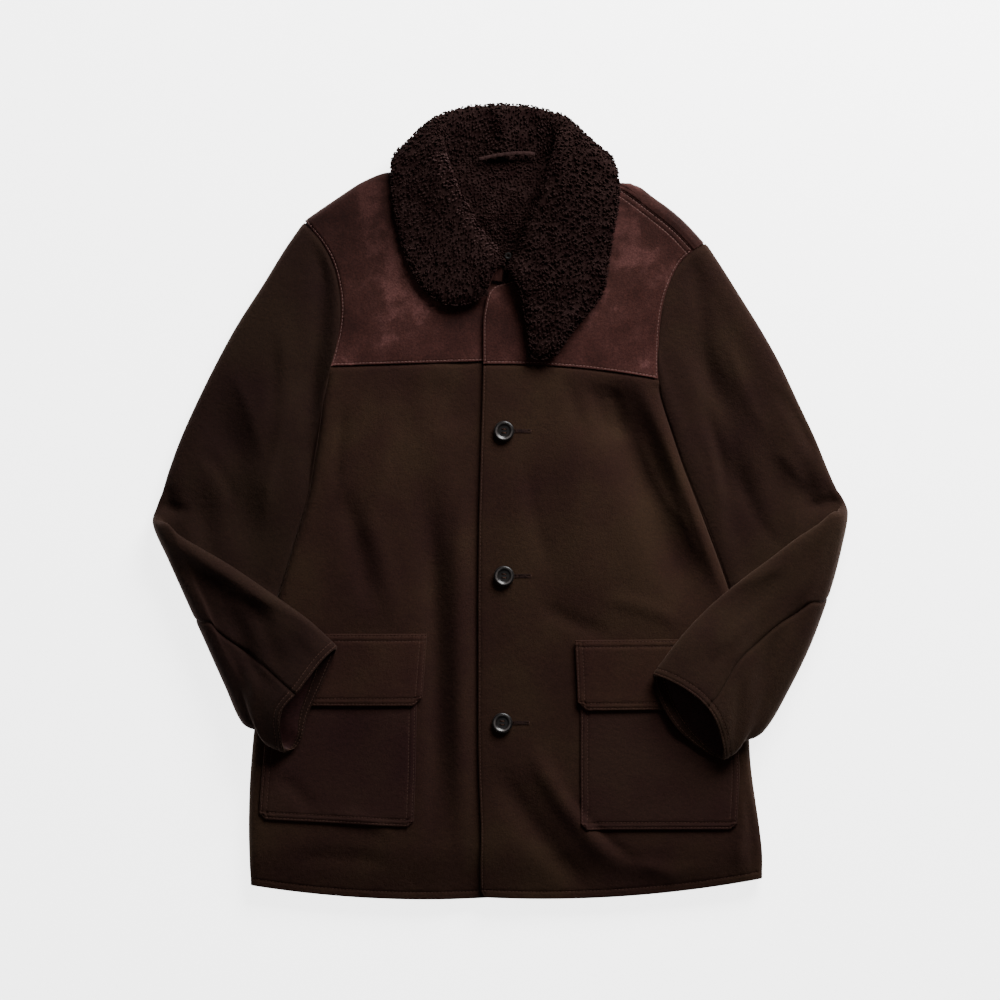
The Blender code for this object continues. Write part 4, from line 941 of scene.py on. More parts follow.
# %% A front as a grid
FRONT_ROWS, FRONT_COLUMNS, ROLL_COLUMNS = 230, 116, 7
ROLL_START = 0.9  # the table's row from which the side is fully rolled
ARMPIT_GAP = 0.6


def front_level_y(level, x):
    """Level of a place on a row of a front's table, from its ends and its bow."""
    share = (x - level["edge"][:, None]) / (level["side"] - level["edge"])[:, None]
    straight = level["y_edge"][:, None] * (1 - share) + level["y_side"][:, None] * share
    return straight + level["bow"][:, None] * 4 * share * (1 - share)


def front_pair(rows, top):
    """The face and back of a front, from the yoke seam to the hem."""
    at = np.linspace(0, HEM_ROW, FRONT_ROWS + 1)
    level = resample(rows, at)
    sign = 1.0 if rows["side"][0] > 0 else -1.0
    rolled = smooth_step(at / ROLL_START)[:, None]
    start = (level["side"] - sign * SIDE_ROLL)[:, None]
    share = np.linspace(0, 1, FRONT_COLUMNS + 1)
    turn = np.linspace(0, 1, ROLL_COLUMNS + 1)[1:]
    walls = []
    for depth in (0.0, WOOL):
        reach = (SIDE_ROLL - depth) * np.sin(math.pi / 2 * turn) * rolled
        reach = reach + (SIDE_ROLL - ARMPIT_GAP) * turn * (1 - rolled)
        x = np.concatenate([level["edge"][:, None] * (1 - share) + start * share,
                            start + sign * reach], axis=1)
        y = front_level_y(level, x)
        z = top(x, y) - depth
        edge = z[:, FRONT_COLUMNS:FRONT_COLUMNS + 1]
        fallen = (1 - np.cos(math.pi / 2 * turn)) * rolled
        z[:, FRONT_COLUMNS + 1:] = edge - (edge - SIDE_SEAM - SEAM / 2) * fallen
        walls.append(np.stack([x, y, z], axis=-1))
    return np.concatenate(walls, axis=-1)


def edge_lines(pair, step):
    """Space the lines of a grid from all four of its edges."""
    return respace(respace(pair, 0, step), 1, step)


# %% Cut and sew the fronts
CLOTH_STEP = 2.7  # millimetres between the lines of a front
UNDER_SUEDE = SUEDE + 0.4  # how far the melton drops to run on under the suede
CORNER, DIAGONAL = 9.0, 0.7071  # radius of the left front's lower corner, and the cosine of 45


def make_front(side, rows, top):
    """One front as a wall of melton, with its stitches and its rounded corner."""
    pair = edge_lines(front_pair(rows, top), CLOTH_STEP)
    name = f"front_{side}"
    sink(pair, "first_row", 1.3, 3.0)
    sew(name, pair, "last_row", FAR_ROW, (3, 4))
    if side == "l":
        sew(name, pair, "first_line", NEAR_ROW, (2, 4))
        out = np.clip(1 - edge_distance(pair, "first_line") / CORNER, 0, 1)
        down = np.clip(1 - edge_distance(pair, "last_row") / CORNER, 0, 1)
        cut = CORNER * (1 - DIAGONAL) * np.minimum(out, down) ** 1.2
        for part in (0, 3):
            pair[..., part] += cut
            pair[..., part + 1] += cut
    pair = tuck(pair, "first_row", UNDER_SUEDE)
    return cloth(name + "_cloth", pair, MELTON)


front_r = make_front("r", FRONT_R, right_top)
front_l = make_front("l", FRONT_L, left_top)

# %% [markdown]
# ## Pockets and flaps
# A patch pocket is a second layer of melton sewn on with two rows of stitches, and its flap hangs
# over its mouth from a stitched band. Both follow the front's own surface, lifted by a wall, so
# that the folds of the coat run through them as they do through real layers.

# %% Pocket grids
PATCH_LEVELS, FLAP_LEVELS = (FLAP_ROW, POCKET_ROW), (FLAP_ROW, FLAP_EDGE_ROW)
PATCH_ROWS, PATCH_COLUMNS = 90, 80


def layer_pair(rows, top, levels, lines, lift):
    """A layer that lies on a front between two levels and two lines of its table."""
    level = resample(rows, np.linspace(*levels, PATCH_ROWS))
    share = np.linspace(0, 1, PATCH_COLUMNS)
    x = level[lines[0]][:, None] * (1 - share) + level[lines[1]][:, None] * share
    y = front_level_y(level, x)
    z = top(x, y) + lift
    return np.stack([x, y, z + WOOL, x, y, z], axis=-1)


def clip_corner(pair, first_edge, second_edge, size):
    """Cut a corner off between two edges, by moving it in along both."""
    near = np.min([np.clip(1 - edge_distance(pair, edge) / size, 0, 1)
                   for edge in (first_edge, second_edge)], axis=0)
    row = -1 if EDGES[first_edge][1] else 0
    line = -1 if EDGES[second_edge][1] else 0
    corner = pair[row, line, :2]
    move = 0.0
    for middle in (pair[pair.shape[0] // 2, line, :2], pair[row, pair.shape[1] // 2, :2]):
        move = move + (middle - corner) / np.linalg.norm(middle - corner)
    move = move * (size / 2)
    for part in (0, 3):
        pair[..., part:part + 2] += near[..., None] * move


# %% Cut and sew the pockets
PATCH_STEP, FLAP_STEP = 2.6, 2.4
PATCH_CLIP, FLAP_CLIP = 7.0, 10.0  # millimetres off the lower corners
FLAP_LIFT, FLAP_SPRING = 0.5, 30.0  # how much the free edge stands off, and from how far in


def hem_three_sides(name, pair, clip):
    """Cut off the two lower corners of a layer and sew two rows round its free sides."""
    for edge in ("first_line", "last_line"):
        clip_corner(pair, "last_row", edge, clip)
    for edge in ("last_row", "first_line", "last_line"):
        for row in (NEAR_ROW, FAR_ROW):
            sew(name, pair, edge, row, (row, row))


def make_pocket(side, rows, top):
    """A patch pocket and the flap above it."""
    name = f"pocket_{side}"
    lines = "patch_in", "patch_out"
    patch = edge_lines(layer_pair(rows, top, PATCH_LEVELS, lines, SEAM), PATCH_STEP)
    hem_three_sides(name, patch, PATCH_CLIP)
    pieces = [cloth(name + "_cloth", patch, POCKET_MELTON_PAINTED_SHADE)]
    name = f"pocket_flap_{side}"
    lines = "flap_in", "patch_out"
    flap = edge_lines(layer_pair(rows, top, FLAP_LEVELS, lines, SEAM * 2 + WOOL), FLAP_STEP)
    free = smooth_step(1 - edge_distance(flap, "last_row") / FLAP_SPRING)
    shift_cloth(flap, FLAP_LIFT * free)
    hem_three_sides(name, flap, FLAP_CLIP)
    for row in (FAR_ROW, NEAR_ROW):
        sew(name, flap, "first_row", row, (3, 3))
    pieces.append(cloth(name + "_cloth", flap, FLAP_MELTON_PAINTED_LIGHT))
    return pieces


pocket_r, flap_r = make_pocket("r", FRONT_R, right_top)
pocket_l, flap_l = make_pocket("l", FRONT_L, left_top)

# %% [markdown]
# ## The back body
# The back lies flat on the table and is hardly seen, but its hem looks out below the fronts and
# its sides turn up to meet theirs. It is made like the fronts with fewer lines.

# %% The back body
ROLL_STEPS, BACK_SPANS = 3, 8
HEM_SAG = (5.0, 12.0)  # how far the last two rows sag in the middle
BACK_FINE, BACK_STEP = 4.5, 5.0


def side_reach(depth, step, rolled):
    """How far a roll column lies out from the roll's start, flat at the armpit."""
    turned = (SIDE_ROLL - depth) * math.sin(math.pi / 2 * step / ROLL_STEPS)
    return turned * rolled + (SIDE_ROLL - ARMPIT_GAP) * step / ROLL_STEPS * (1 - rolled)


def back_seam_y(x):
    """Level of the seam between the back body and the back yoke."""
    share = (x - ARMHOLE_R["x"][0]) / (ARMHOLE_L["x"][0] - ARMHOLE_R["x"][0])
    return ARMHOLE_R["y"][0] + share * (ARMHOLE_L["y"][0] - ARMHOLE_R["y"][0])


def back_panel_pair():
    """The back body's outer and inner face, which rolls up at its sides."""
    at = np.arange(0, HEM_ROW + 0.001, 1.0)
    left, right = resample(FRONT_L, at), resample(FRONT_R, at)
    rolled = smooth_step(at / ROLL_START)
    walls = []
    for depth in (0.0, WOOL):
        sides = []
        for level, sign in ((right, -1.0), (left, 1.0)):
            start = level["side"] - sign * SIDE_ROLL
            part = [np.stack([start, level["y_side"], start * 0 + depth], axis=-1)]
            for k in range(1, ROLL_STEPS + 1):
                fallen = 1 - math.cos(math.pi / 2 * k / ROLL_STEPS)
                rise = (SIDE_SEAM - SEAM / 2 - depth) * fallen * rolled
                x = start + sign * side_reach(depth, k, rolled)
                part.append(np.stack([x, level["y_side"], depth + rise], axis=-1))
            sides.append(part)
        first, last = sides[0][0], sides[1][0]
        middle = [first + (last - first) * k / BACK_SPANS for k in range(1, BACK_SPANS)]
        for k, line in enumerate(middle, 1):
            line[-2:, 1] -= np.array(HEM_SAG) * math.sin(math.pi * k / BACK_SPANS)
        grid = np.stack(sides[0][::-1] + middle + sides[1], axis=1)
        grid[0, :, 1] = back_seam_y(grid[0, :, 0]) - SEAM
        walls.append(grid)
    return np.concatenate(walls, axis=-1)


pair = edge_lines(refine(back_panel_pair(), BACK_FINE), BACK_STEP)
back_panel = cloth("back_panel_cloth", pair, MELTON)

# %% [markdown]
# ## The yokes
# The yoke is the suede layer over the shoulders. Its back and its fronts meet along the shoulder,
# where the cloth rolls over, and on the wearer's left the seam has come forward and shows two
# rows of stitches. A grid stretched between four curves follows the armhole and the neck exactly.

# %% Curves that bound the yokes
YOKE_LEVELS, SHOULDER_STEPS = 7, 4
SHOULDER_ARC = 28.0  # length of the roll over the shoulder


def stretch_between(bottom, top, start, end):
    """A grid of plan points that fills the space between four curves (rows run up)."""
    rows, cols = len(start), len(bottom)
    v = np.linspace(0, 1, rows)[:, None, None]
    u = np.linspace(0, 1, cols)[None, :, None]
    across = (1 - v) * bottom[None] + v * top[None]
    upward = (1 - u) * start[:, None] + u * end[:, None]
    corners = ((1 - u) * (1 - v) * bottom[0] + u * (1 - v) * bottom[-1]
               + (1 - u) * v * top[0] + u * v * top[-1])
    return across + upward - corners


def side_curve(curve, corner, levels):
    """Points along a table's x and y, up to the place nearest to a corner."""
    fine = np.linspace(0.5, 1.0, 101)
    near = np.stack([smooth_curve(fine, curve["at"], curve[c]) for c in "xy"], axis=-1)
    stop = fine[np.argmin(np.linalg.norm(near - corner, axis=1))]
    points = np.stack([smooth_curve(levels * stop, curve["at"], curve[c]) for c in "xy"], axis=-1)
    return points + (corner - points[-1]) * levels[:, None] ** 3


def shoulder_point(k, place, depth):
    """A point of the rolled shoulder edge at column k of BACK_TOP. place runs from 0, where the
    back starts to roll up, to 1 on top, and past them it is that many millimetres further in."""
    out = np.array([BACK_TOP["out_x"][k], BACK_TOP["out_y"][k]])
    inset = np.array([BACK_TOP["x"][k], BACK_TOP["y"][k]]) - out * SHOULDER_ROLL
    low = float(back_lift(*inset))
    high = float(body_top(*inset))
    angle = math.pi * min(max(place, 0.0), 1.0)
    further = max(place - 1.0, -place, 0.0)
    plan = inset + out * ((SHOULDER_ROLL - depth) * math.sin(angle) - further)
    z = (low + high) / 2 - ((high - low) / 2 - depth) * math.cos(angle)
    return np.array([plan[0], plan[1], z])


print("middle of the left shoulder", shoulder_point(15, 1.0, 0.0).round(1), "mm")

# %% The back yoke
def back_yoke_pair():
    """The outer and inner face of the back yoke, with the rolled rows of the shoulders."""
    count = len(BACK_TOP["x"])
    levels = np.linspace(0, 1, YOKE_LEVELS + 1)
    top = np.array([shoulder_point(k, 0.0, 0.0)[:2] for k in range(count)])
    share = (BACK_TOP["x"] - BACK_TOP["x"][0]) / (BACK_TOP["x"][-1] - BACK_TOP["x"][0])
    x = ARMHOLE_R["x"][0] + share * (ARMHOLE_L["x"][0] - ARMHOLE_R["x"][0])
    bottom = np.stack([x, back_seam_y(x)], axis=-1)
    plan = stretch_between(bottom, top, side_curve(ARMHOLE_R, top[0], levels),
                           side_curve(ARMHOLE_L, top[-1], levels))
    walls = []
    for depth in (0.0, SUEDE):
        z = back_lift(plan[..., 0], plan[..., 1]) + depth
        grid = np.concatenate([plan, z[..., None]], axis=-1)
        rolls = []
        for step in range(1, SHOULDER_STEPS + 1):
            share = step / SHOULDER_STEPS
            row = []
            for k, seam in enumerate(BACK_TOP["seam"]):
                if seam == 0.0:
                    out = np.array([BACK_TOP["out_x"][k], BACK_TOP["out_y"][k], 0.0])
                    row.append(shoulder_point(k, 0.0, depth) + out * SHOULDER_ROLL * share)
                elif seam < 1.0:
                    row.append(shoulder_point(k, (seam - SEAM / 2 / SHOULDER_ARC) * share, depth))
                else:
                    last = step == SHOULDER_STEPS
                    place = seam - SEAM / 2 if last else step / (SHOULDER_STEPS - 1)
                    row.append(shoulder_point(k, place, depth))
            rolls.append(row)
        walls.append(np.concatenate([grid, np.array(rolls)]))
    return np.concatenate(walls, axis=-1)


SUEDE_FINE, SUEDE_STEP = 3.0, 3.2
yoke_pair = back_yoke_pair()
pair = edge_lines(refine(yoke_pair, SUEDE_FINE), SUEDE_STEP)
back_yoke = cloth("back_yoke_cloth", pair, SUEDE_FINISH, 0.5)

# %% The front yokes
YOKE_STEP = 2.6
YOKE_RIDGE = 0.9  # how high the folded edge of the suede stands on the melton


def front_yoke_pair(side):
    """The outer and inner face of a front yoke, from the yoke seam to the shoulder seam."""
    if side == "l":
        armhole, neckline, rows, top = ARMHOLE_L, NECKLINE_L, FRONT_L, left_top
        shoulder = list(range(len(BACK_TOP["x"]) - 1, BACK_NECK[1] - 1, -1))
    else:
        armhole, neckline, rows, top = ARMHOLE_R, NECKLINE_R, FRONT_R, right_top
        shoulder = list(range(BACK_NECK[0] + 1))
    levels = np.linspace(0, 1, YOKE_LEVELS + 2)
    seams = BACK_TOP["seam"][shoulder]
    start_place = max(seams.max(), 1.0) + SUEDE
    upper = np.array([shoulder_point(k, start_place, 0.0)[:2] for k in shoulder])
    share = np.linspace(0, 1, len(shoulder))
    x = armhole["x"][0] + share * (neckline["x"][0] - armhole["x"][0])
    y = front_level_y(resample(rows, 0.0), x[None])[0] + SEAM
    plan = stretch_between(np.stack([x, y], axis=-1), upper,
                           side_curve(armhole, upper[0], levels),
                           side_curve(neckline, upper[-1], levels))
    plan[0, :, 1] = y
    walls = []
    for depth in (0.0, SUEDE):
        z = top(plan[..., 0], plan[..., 1]) - depth
        grid = np.concatenate([plan, z[..., None]], axis=-1)
        rolls = []
        for step in range(1, SHOULDER_STEPS + 1):
            row = []
            for k, seam in zip(shoulder, seams):
                flat = start_place - max(seam, 1.0) - (SEAM / 2 if seam >= 1 else 0.0)
                rolled = max(1.0 - seam - SEAM / 2 / SHOULDER_ARC, 0.0) * SHOULDER_ARC
                walked = (flat + rolled) * step / SHOULDER_STEPS
                place = start_place - walked
                if walked > flat:
                    place = 1.0 - (walked - flat) / SHOULDER_ARC
                row.append(shoulder_point(k, place, depth))
            rolls.append(row)
        walls.append(np.concatenate([grid, np.array(rolls)]))
    return np.concatenate(walls, axis=-1)


def make_front_yoke(side):
    """One front yoke. The left one is sewn to the back yoke with two rows."""
    pair = edge_lines(refine(front_yoke_pair(side), YOKE_STEP), YOKE_STEP)
    name = f"front_yoke_{side}"
    shift_cloth(pair, YOKE_RIDGE * np.exp(-(edge_distance(pair, "first_row") / 2.6) ** 2))
    sink(pair, "first_line", 0.8, 2.5)
    rows = [("first_row", NEAR_ROW), ("first_line", NEAR_ROW)]
    if side == "l":
        rows += [("last_row", NEAR_ROW), ("last_row", FAR_ROW), ("last_line", NEAR_ROW)]
    for edge, row in rows:
        sew(name, pair, edge, row, (3, 3))
    pair = tuck(pair, "last_row", SUEDE + SEAM)
    return cloth(name + "_cloth", pair, SUEDE_FINISH, 0.5)


front_yoke_r = make_front_yoke("r")
front_yoke_l = make_front_yoke("l")

# %% [markdown]
# ## The sleeves
# A two-piece sleeve has a wide top part and a narrow under part. Each is walked round the tube:
# the fore face, the rolled edge and the hind face, which comes up when the forearm is folded over.
# The finer grid passes through the solids' points, and the smaller creases are added where the
# cloth looks up.

# %% What a folded forearm lies on
BED_FLOOR = 17.0  # the forearm lies no lower than this
BED_REACH = 10.0  # how far an edge below carries the cloth above it
BED_STEP = 2.4  # how much the forearm may rise with each level after the elbow
FLAP_TOP, FLAP_FOOT, POCKET_FOOT = -135.0, -245.0, -375.0


def bed_height(x, y):
    """Top of what lies under a folded forearm, with its edges carried outwards."""
    best = BED_FLOOR
    for radius in (0.0, BED_REACH):
        for angle in np.arange(0, 2 * math.pi, math.pi / 4):
            px = x + radius * math.cos(angle)
            py = y + radius * math.sin(angle)
            left = np.interp(py, FRONT_L["y_side"][::-1], FRONT_L["side"][::-1])
            right = np.interp(py, FRONT_R["y_side"][::-1], FRONT_R["side"][::-1])
            layers = 0.0
            if POCKET_FOOT < py < FLAP_TOP:
                layers = 2 * (WOOL + SEAM) if py > FLAP_FOOT else WOOL + SEAM
            if right < px < left:
                best = max(best, float(body_top(px, py)) + layers)
    return best


print("bed under the right cuff", round(bed_height(-207.0, -220.0), 1), "mm")

# %% The curve of the armhole
def armhole_shift(armhole, share):
    """How far the armhole's curve lies from the straight line between its ends, at a share from
    the shoulder point to the armpit."""
    at = 1.0 - share
    curve = np.array([smooth_curve(at, armhole["at"], armhole[c])[0] for c in "xy"])
    first = np.array([armhole["x"][0], armhole["y"][0]])
    last = np.array([armhole["x"][-1], armhole["y"][-1]])
    shift = curve - (first + (last - first) * at)
    return np.array([shift[0], shift[1], 0.0])


# %% Walk round the tube
SLEEVE_EDGE, SEAM_PLACE = 9.0, 0.5  # radius of the rolled edges, and the hind seam's column
ARMHOLE_EASE = 0.6


def sleeve_loops(shape, depth, columns):
    """A sleeve's surface, depth millimetres inside its outer face. Each column is a face, -1 for
    the fore and +1 for the hind one, the edge or the share of the middle that it lies at, how far
    it is moved along the level, and its angle on the rolled edge."""
    rows, armhole, folds_upper, folds_fore, sign = shape
    fold_start = int(np.argmax(rows["turn"] > 0)) - 1
    fold_end = int(np.argmax(rows["turn"] >= 180))
    up = np.array([0.0, 0.0, 1.0])
    grid = []
    for k in range(len(rows["px"])):
        p = np.array([rows["px"][k], rows["py"][k], 0.0])
        q = np.array([rows["qx"][k], rows["qy"][k], 0.0])
        length = np.linalg.norm(q - p)
        along = (q - p) / length
        out = np.cross(along, up) * -sign
        thick = rows["thick"][k]
        edge = max(SLEEVE_EDGE, (thick + 0.4 * rows["puff"][k]) / 2)
        turn = math.radians(rows["turn"][k])
        spin = out * math.sin(turn) - up * math.cos(turn)
        ring = []
        for face, place, moved, degrees in columns:
            if face > 0:
                place = float(np.interp(place, (0.0, SEAM_PLACE, 1.0), (0.0, rows["seam"][k], 1.0)))
            angle = math.radians(degrees)
            inset = depth + (edge - depth) * (1 - math.sin(angle))
            at = edge + (length - 2 * edge) * place + moved
            if place == 0.0:
                at = inset
            elif place == 1.0:
                at = length - inset
            share = edge * (1 - math.sin(angle)) / length
            share = share if place == 0.0 else 1 - share if place == 1.0 else at / length
            rise = math.cos(angle)
            bulge = 4 * share * (1 - share)
            bow = rows["bow_a"][k] if face > 0 else rows["bow_b"][k]
            plan = p + along * at
            if fold_start <= k <= fold_end:
                centre = plan + out * bow * bulge + up * (thick / 2 + FOLD_RADIUS)
                point = centre + spin * (FOLD_RADIUS + face * (thick / 2 - depth) * rise)
            elif k > fold_end:
                point = plan + out * bow * bulge
                highest = 2 * FOLD_RADIUS + BED_STEP * (k - fold_end)
                base = min(bed_height(point[0], point[1]) + 1.0, highest)
                height = thick + rows["puff"][k] * math.sin(math.pi * share) - 2 * depth
                z = base + depth + height * (0.5 + face * 0.5 * rise)
                if face > 0:
                    z += float(fold_height(folds_fore, point[0], point[1])) * rise
                point = np.array([point[0], point[1], z])
            else:
                arm = rows["arm"][k]
                shift = (armhole_shift(armhole, share) + out * ARMHOLE_EASE) * arm
                point = plan + out * bow * bulge + shift
                z = depth + (thick - 2 * depth) * (0.5 - face * 0.5 * rise)
                if face < 0:
                    z += float(fold_height(folds_upper, point[0], point[1])) * rise
                point = np.array([point[0], point[1], z])
            if place == 1.0 and degrees == 90.0:
                point = point + spin * (face * SEAM / 2)
            ring.append(point)
        grid.append(ring)
    return np.array(grid)

# %% The columns of each part
EDGE_STEPS = (0.0, 30.0, 60.0, 90.0)  # degrees round a rolled edge
FORE_SPANS, HIND_SPANS = 6, (3, 3)


def sleeve_columns():
    """The columns of the top sleeve and of the under sleeve, each as sleeve_loops reads them."""
    first, second = HIND_SPANS
    rest = 1 - SEAM_PLACE
    top = [(-1, 1.0, 0.0, angle) for angle in reversed(EDGE_STEPS)]
    top += [(-1, 1 - m / FORE_SPANS, 0.0, 0.0) for m in range(1, FORE_SPANS)]
    top += [(-1, 0.0, 0.0, angle) for angle in EDGE_STEPS[:-1]]
    top += [(1, 0.0, 0.0, angle) for angle in reversed(EDGE_STEPS)]
    top += [(1, SEAM_PLACE * m / first, 0.0, 0.0) for m in range(1, first)]
    top += [(1, SEAM_PLACE, -SEAM / 2, 0.0)]
    under = [(1, SEAM_PLACE, SEAM / 2, 0.0)]
    under += [(1, SEAM_PLACE + rest * m / second, 0.0, 0.0) for m in range(1, second)]
    under += [(1, 1.0, 0.0, angle) for angle in EDGE_STEPS]
    return top, under


print("columns of the sleeves", [len(part) for part in sleeve_columns()])

# %% The mouth of a cuff
# For the layer above and the one below: how far it gapes, at which share of the way from the
# upper corner of the mouth to its lower one and how wide.
MOUTHS = {"r": ((-11.0, 0.72, 0.2), (8.0, 0.86, 0.15)),
          "l": ((-3.0, 0.6, 0.25), (0.0, 0.5, 0.2))}
MOUTH_DEPTH = 70.0  # how far up the sleeve the mouth still gapes


def open_mouth(pair, side, rows):
    """Pull the two layers of a cuff apart near its end, so that its mouth is a drop."""
    above, below = MOUTHS[side]
    first, last = (np.array([rows[f"{end}x"][-1], rows[f"{end}y"][-1]]) for end in "pq")
    line = last - first
    share = (pair[..., :2] - first) @ line / (line @ line)
    facing = way_out(pair)[..., 2]
    near = smooth_step(1 - edge_distance(pair, "last_row") / MOUTH_DEPTH)
    amount = 0.0
    for layer, (gape, centre, width) in ((facing, above), (-facing, below)):
        bell = np.exp(-((share - centre) / width) ** 2)
        amount = amount + np.clip(layer, 0, 1) * near * gape * bell
    ahead = np.array([line[1], -line[0]]) / np.linalg.norm(line)
    ahead *= -1 if side == "r" else 1
    for part in (0, 3):
        pair[..., part:part + 2] += amount[..., None] * ahead


# %% Cut and sew the sleeves
SLEEVE_FINE, SLEEVE_STEP = 2.6, 2.7
CREASE_START = 20.0  # the creases grow over this length below the armhole


def tube_pair(shape, depths, columns):
    """The face and back of a wall round the tube, each at its depth inside the outer face."""
    return np.concatenate([sleeve_loops(shape, depth, columns) for depth in depths], axis=-1)


def make_sleeve(side, shape):
    """The top and the under part of one sleeve, with their creases, seams and cuff stitches."""
    pieces = []
    top, under = sleeve_columns()
    for part, columns in (("top", top), ("under", under)):
        pair = refine(tube_pair(shape, (0.0, WOOL), columns), SLEEVE_FINE)
        pair = edge_lines(pair, SLEEVE_STEP)
        open_mouth(pair, side, shape[0])
        name = f"sleeve_{part}_{side}"
        looks_up = smooth_step(way_out(pair)[..., 2] * 1.6 - 0.5)
        inside = smooth_step(edge_distance(pair, "first_row") / CREASE_START)
        creases = fold_height(ARM_CREASES, pair[..., 0], pair[..., 1])
        shift_cloth(pair, creases * looks_up * inside)
        sink(pair, "first_row", 1.2, 3.0)
        sink(pair, "last_line" if part == "top" else "first_line", 1.4, 2.4)
        for row in (NEAR_ROW, FAR_ROW):
            sew(name, pair, "last_row", row, (2, 2))
        pair = tuck(pair, "first_row", UNDER_SUEDE)
        if part == "under":
            for edge in ("first_line", "last_line"):
                pair = tuck(pair, edge, WOOL + SEAM)
        pieces.append(cloth(name + "_cloth", pair, SLEEVE_MELTON_PAINTED_SHADE[side], 0.8))
    return pieces


SHAPE_R = (SLEEVE_R, ARMHOLE_R, UPPER_FOLDS_R, FOREARM_FOLDS_R, -1.0)
SHAPE_L = (SLEEVE_L, ARMHOLE_L, UPPER_FOLDS_L, FOREARM_FOLDS_L, 1.0)
sleeve_top_r, sleeve_under_r = make_sleeve("r", SHAPE_R)
sleeve_top_l, sleeve_under_l = make_sleeve("l", SHAPE_L)

# %% [markdown]
# ## The cuff linings
# A smooth lining shows inside the open cuffs. It is a ring, so its last line joins its first, and
# its mesh is made by a simpler wall with both faces alike.

# %% The mesh of a ring
def ring_mesh(outer, inner):
    """A closed ring of lining between two grids whose lines go round."""
    rows, cols = outer.shape[:2]
    points = np.concatenate([outer.reshape(-1, 3), inner.reshape(-1, 3)])
    behind = rows * cols
    faces = []
    for i in range(rows - 1):
        for j in range(cols):
            a, b = i * cols + j, i * cols + (j + 1) % cols
            c, d = b + cols, a + cols
            faces += [(a, b, c, d), (behind + a, behind + d, behind + c, behind + b)]
    for start in (0, (rows - 1) * cols):
        for j in range(cols):
            a, b = start + j, start + (j + 1) % cols
            faces.append((a, b, behind + b, behind + a))
    return points, faces


# %% Two rings of lining
CUFF_LEVELS = 4  # levels of the sleeve's table that are lined
LINING_STEP, LINING_ROWS = 3.0, 26
CUFF_FACING = 12.0  # how far the melton of the sleeve is turned in


def make_cuff_lining(side, shape):
    """The lining inside a cuff, with the turned-in melton at its end."""
    top, under = sleeve_columns()
    loop = top[1:-1] + under[:-1]
    depths = WOOL + SEAM, WOOL + SEAM + LINING
    pair = tube_pair(shape, depths, loop)[-CUFF_LEVELS:]
    closed = np.concatenate([pair[:, -2:], pair, pair[:, :2]], axis=1)
    stations = steps_along(closed, 1).mean(axis=0)
    at = np.arange(stations[2], stations[-2] - LINING_STEP / 2, LINING_STEP)
    closed = np.moveaxis(smooth_curve(at, stations, np.moveaxis(closed, 1, 0)), 0, 1)
    down = steps_along(closed, 0).mean(axis=1)
    closed = smooth_curve(np.linspace(0, down[-1], LINING_ROWS), down, closed)
    open_mouth(closed, side, shape[0])
    points, faces = ring_mesh(closed[..., :3], closed[..., 3:])
    name = f"cuff_lining_{side}"
    lining = add_mesh(name + "_cloth", points, faces, TWILL, (name,))
    lining.data.materials.append(SLEEVE_MELTON_PAINTED_SHADE[side])
    walked = steps_along(closed, 0).mean(axis=1)
    turned_in = int(np.searchsorted(walked, walked[-1] - CUFF_FACING))
    count = closed.shape[1]
    walls = (len(closed) - 1) * 2 * count  # the upper rim and the lower rim come after them
    for start, stop in ((turned_in * 2 * count, walls), (walls + count, walls + 2 * count)):
        for face in range(start, stop):
            lining.data.polygons[face].material_index = 1
    for row in (NEAR_ROW, FAR_ROW):
        line = smooth_curve([walked[-1] - EDGE_LINES[row]], walked, closed)[0]
        sewn.setdefault(f"cuff_facing_{side}", []).append((line[:, 3:], -way_out(line)))
    return lining


cuff_lining_r = make_cuff_lining("r", SHAPE_R)
cuff_lining_l = make_cuff_lining("l", SHAPE_L)
print("lining", len(cuff_lining_l.data.polygons), "faces")

# %% [markdown]
# ## The collar and its fleece
# The collar is suede underneath and curly fleece on top, and the same fleece lines the neck. The
# pile is a knobbly base with separate curls set into it, each a short thick hook that lies over
# to one side. Hair particles could do this too, but curls of mesh are also there in the export.

# %% The spine of the collar
COLLAR_STEP = 0.6  # rows of the table from section to section
FALL_SHARES = (0.35, 0.7, 0.93, 1.0)  # places down the fall


def collar_spine():
    """The line between fleece and suede at each section, and the way that the fleece lies."""
    at = np.linspace(0, len(COLLAR["nx"]) - 1, round((len(COLLAR["nx"]) - 1) / COLLAR_STEP) + 1)
    level = resample(COLLAR, at)
    spine, normals = [], []
    for k in range(len(at)):
        n, c, o = (np.array([level[a + b][k] for b in "xyz"]) for a in "nco")
        forward = c - (n + o) / 2
        forward /= np.linalg.norm(forward)
        inner = (n - o) - forward * np.dot(n - o, forward)
        inner /= np.linalg.norm(inner)
        side = np.cross(forward, inner)
        start = c + inner * COLLAR_ROLL
        end = c - inner * COLLAR_ROLL
        points = [n, (n + start) / 2, start]
        guides = [inner, inner, inner]
        for degrees in (45, 90, 135):
            angle = math.radians(degrees)
            spoke = inner * math.cos(angle) + forward * math.sin(angle)
            points.append(c + spoke * COLLAR_ROLL)
            guides.append(spoke)
        points.append(end)
        guides.append(-inner)
        for share in FALL_SHARES:
            bulge = 4 * share * (1 - share)
            drift = side * level["bow"][k] * bulge
            points.append(end + (o - end) * share + drift - inner * 1.5 * bulge)
            guides.append(-inner)
        points = np.array(points)
        tangents = np.gradient(points, axis=0)
        tangents /= np.linalg.norm(tangents, axis=1)[:, None]
        guides = np.array(guides)
        across = guides - tangents * np.sum(guides * tangents, axis=1)[:, None]
        spine.append(points)
        normals.append(across / np.linalg.norm(across, axis=1)[:, None])
    return np.array(spine), np.array(normals)


spine, across_spine = collar_spine()
print("collar sections", spine.shape[0], "stations", spine.shape[1])

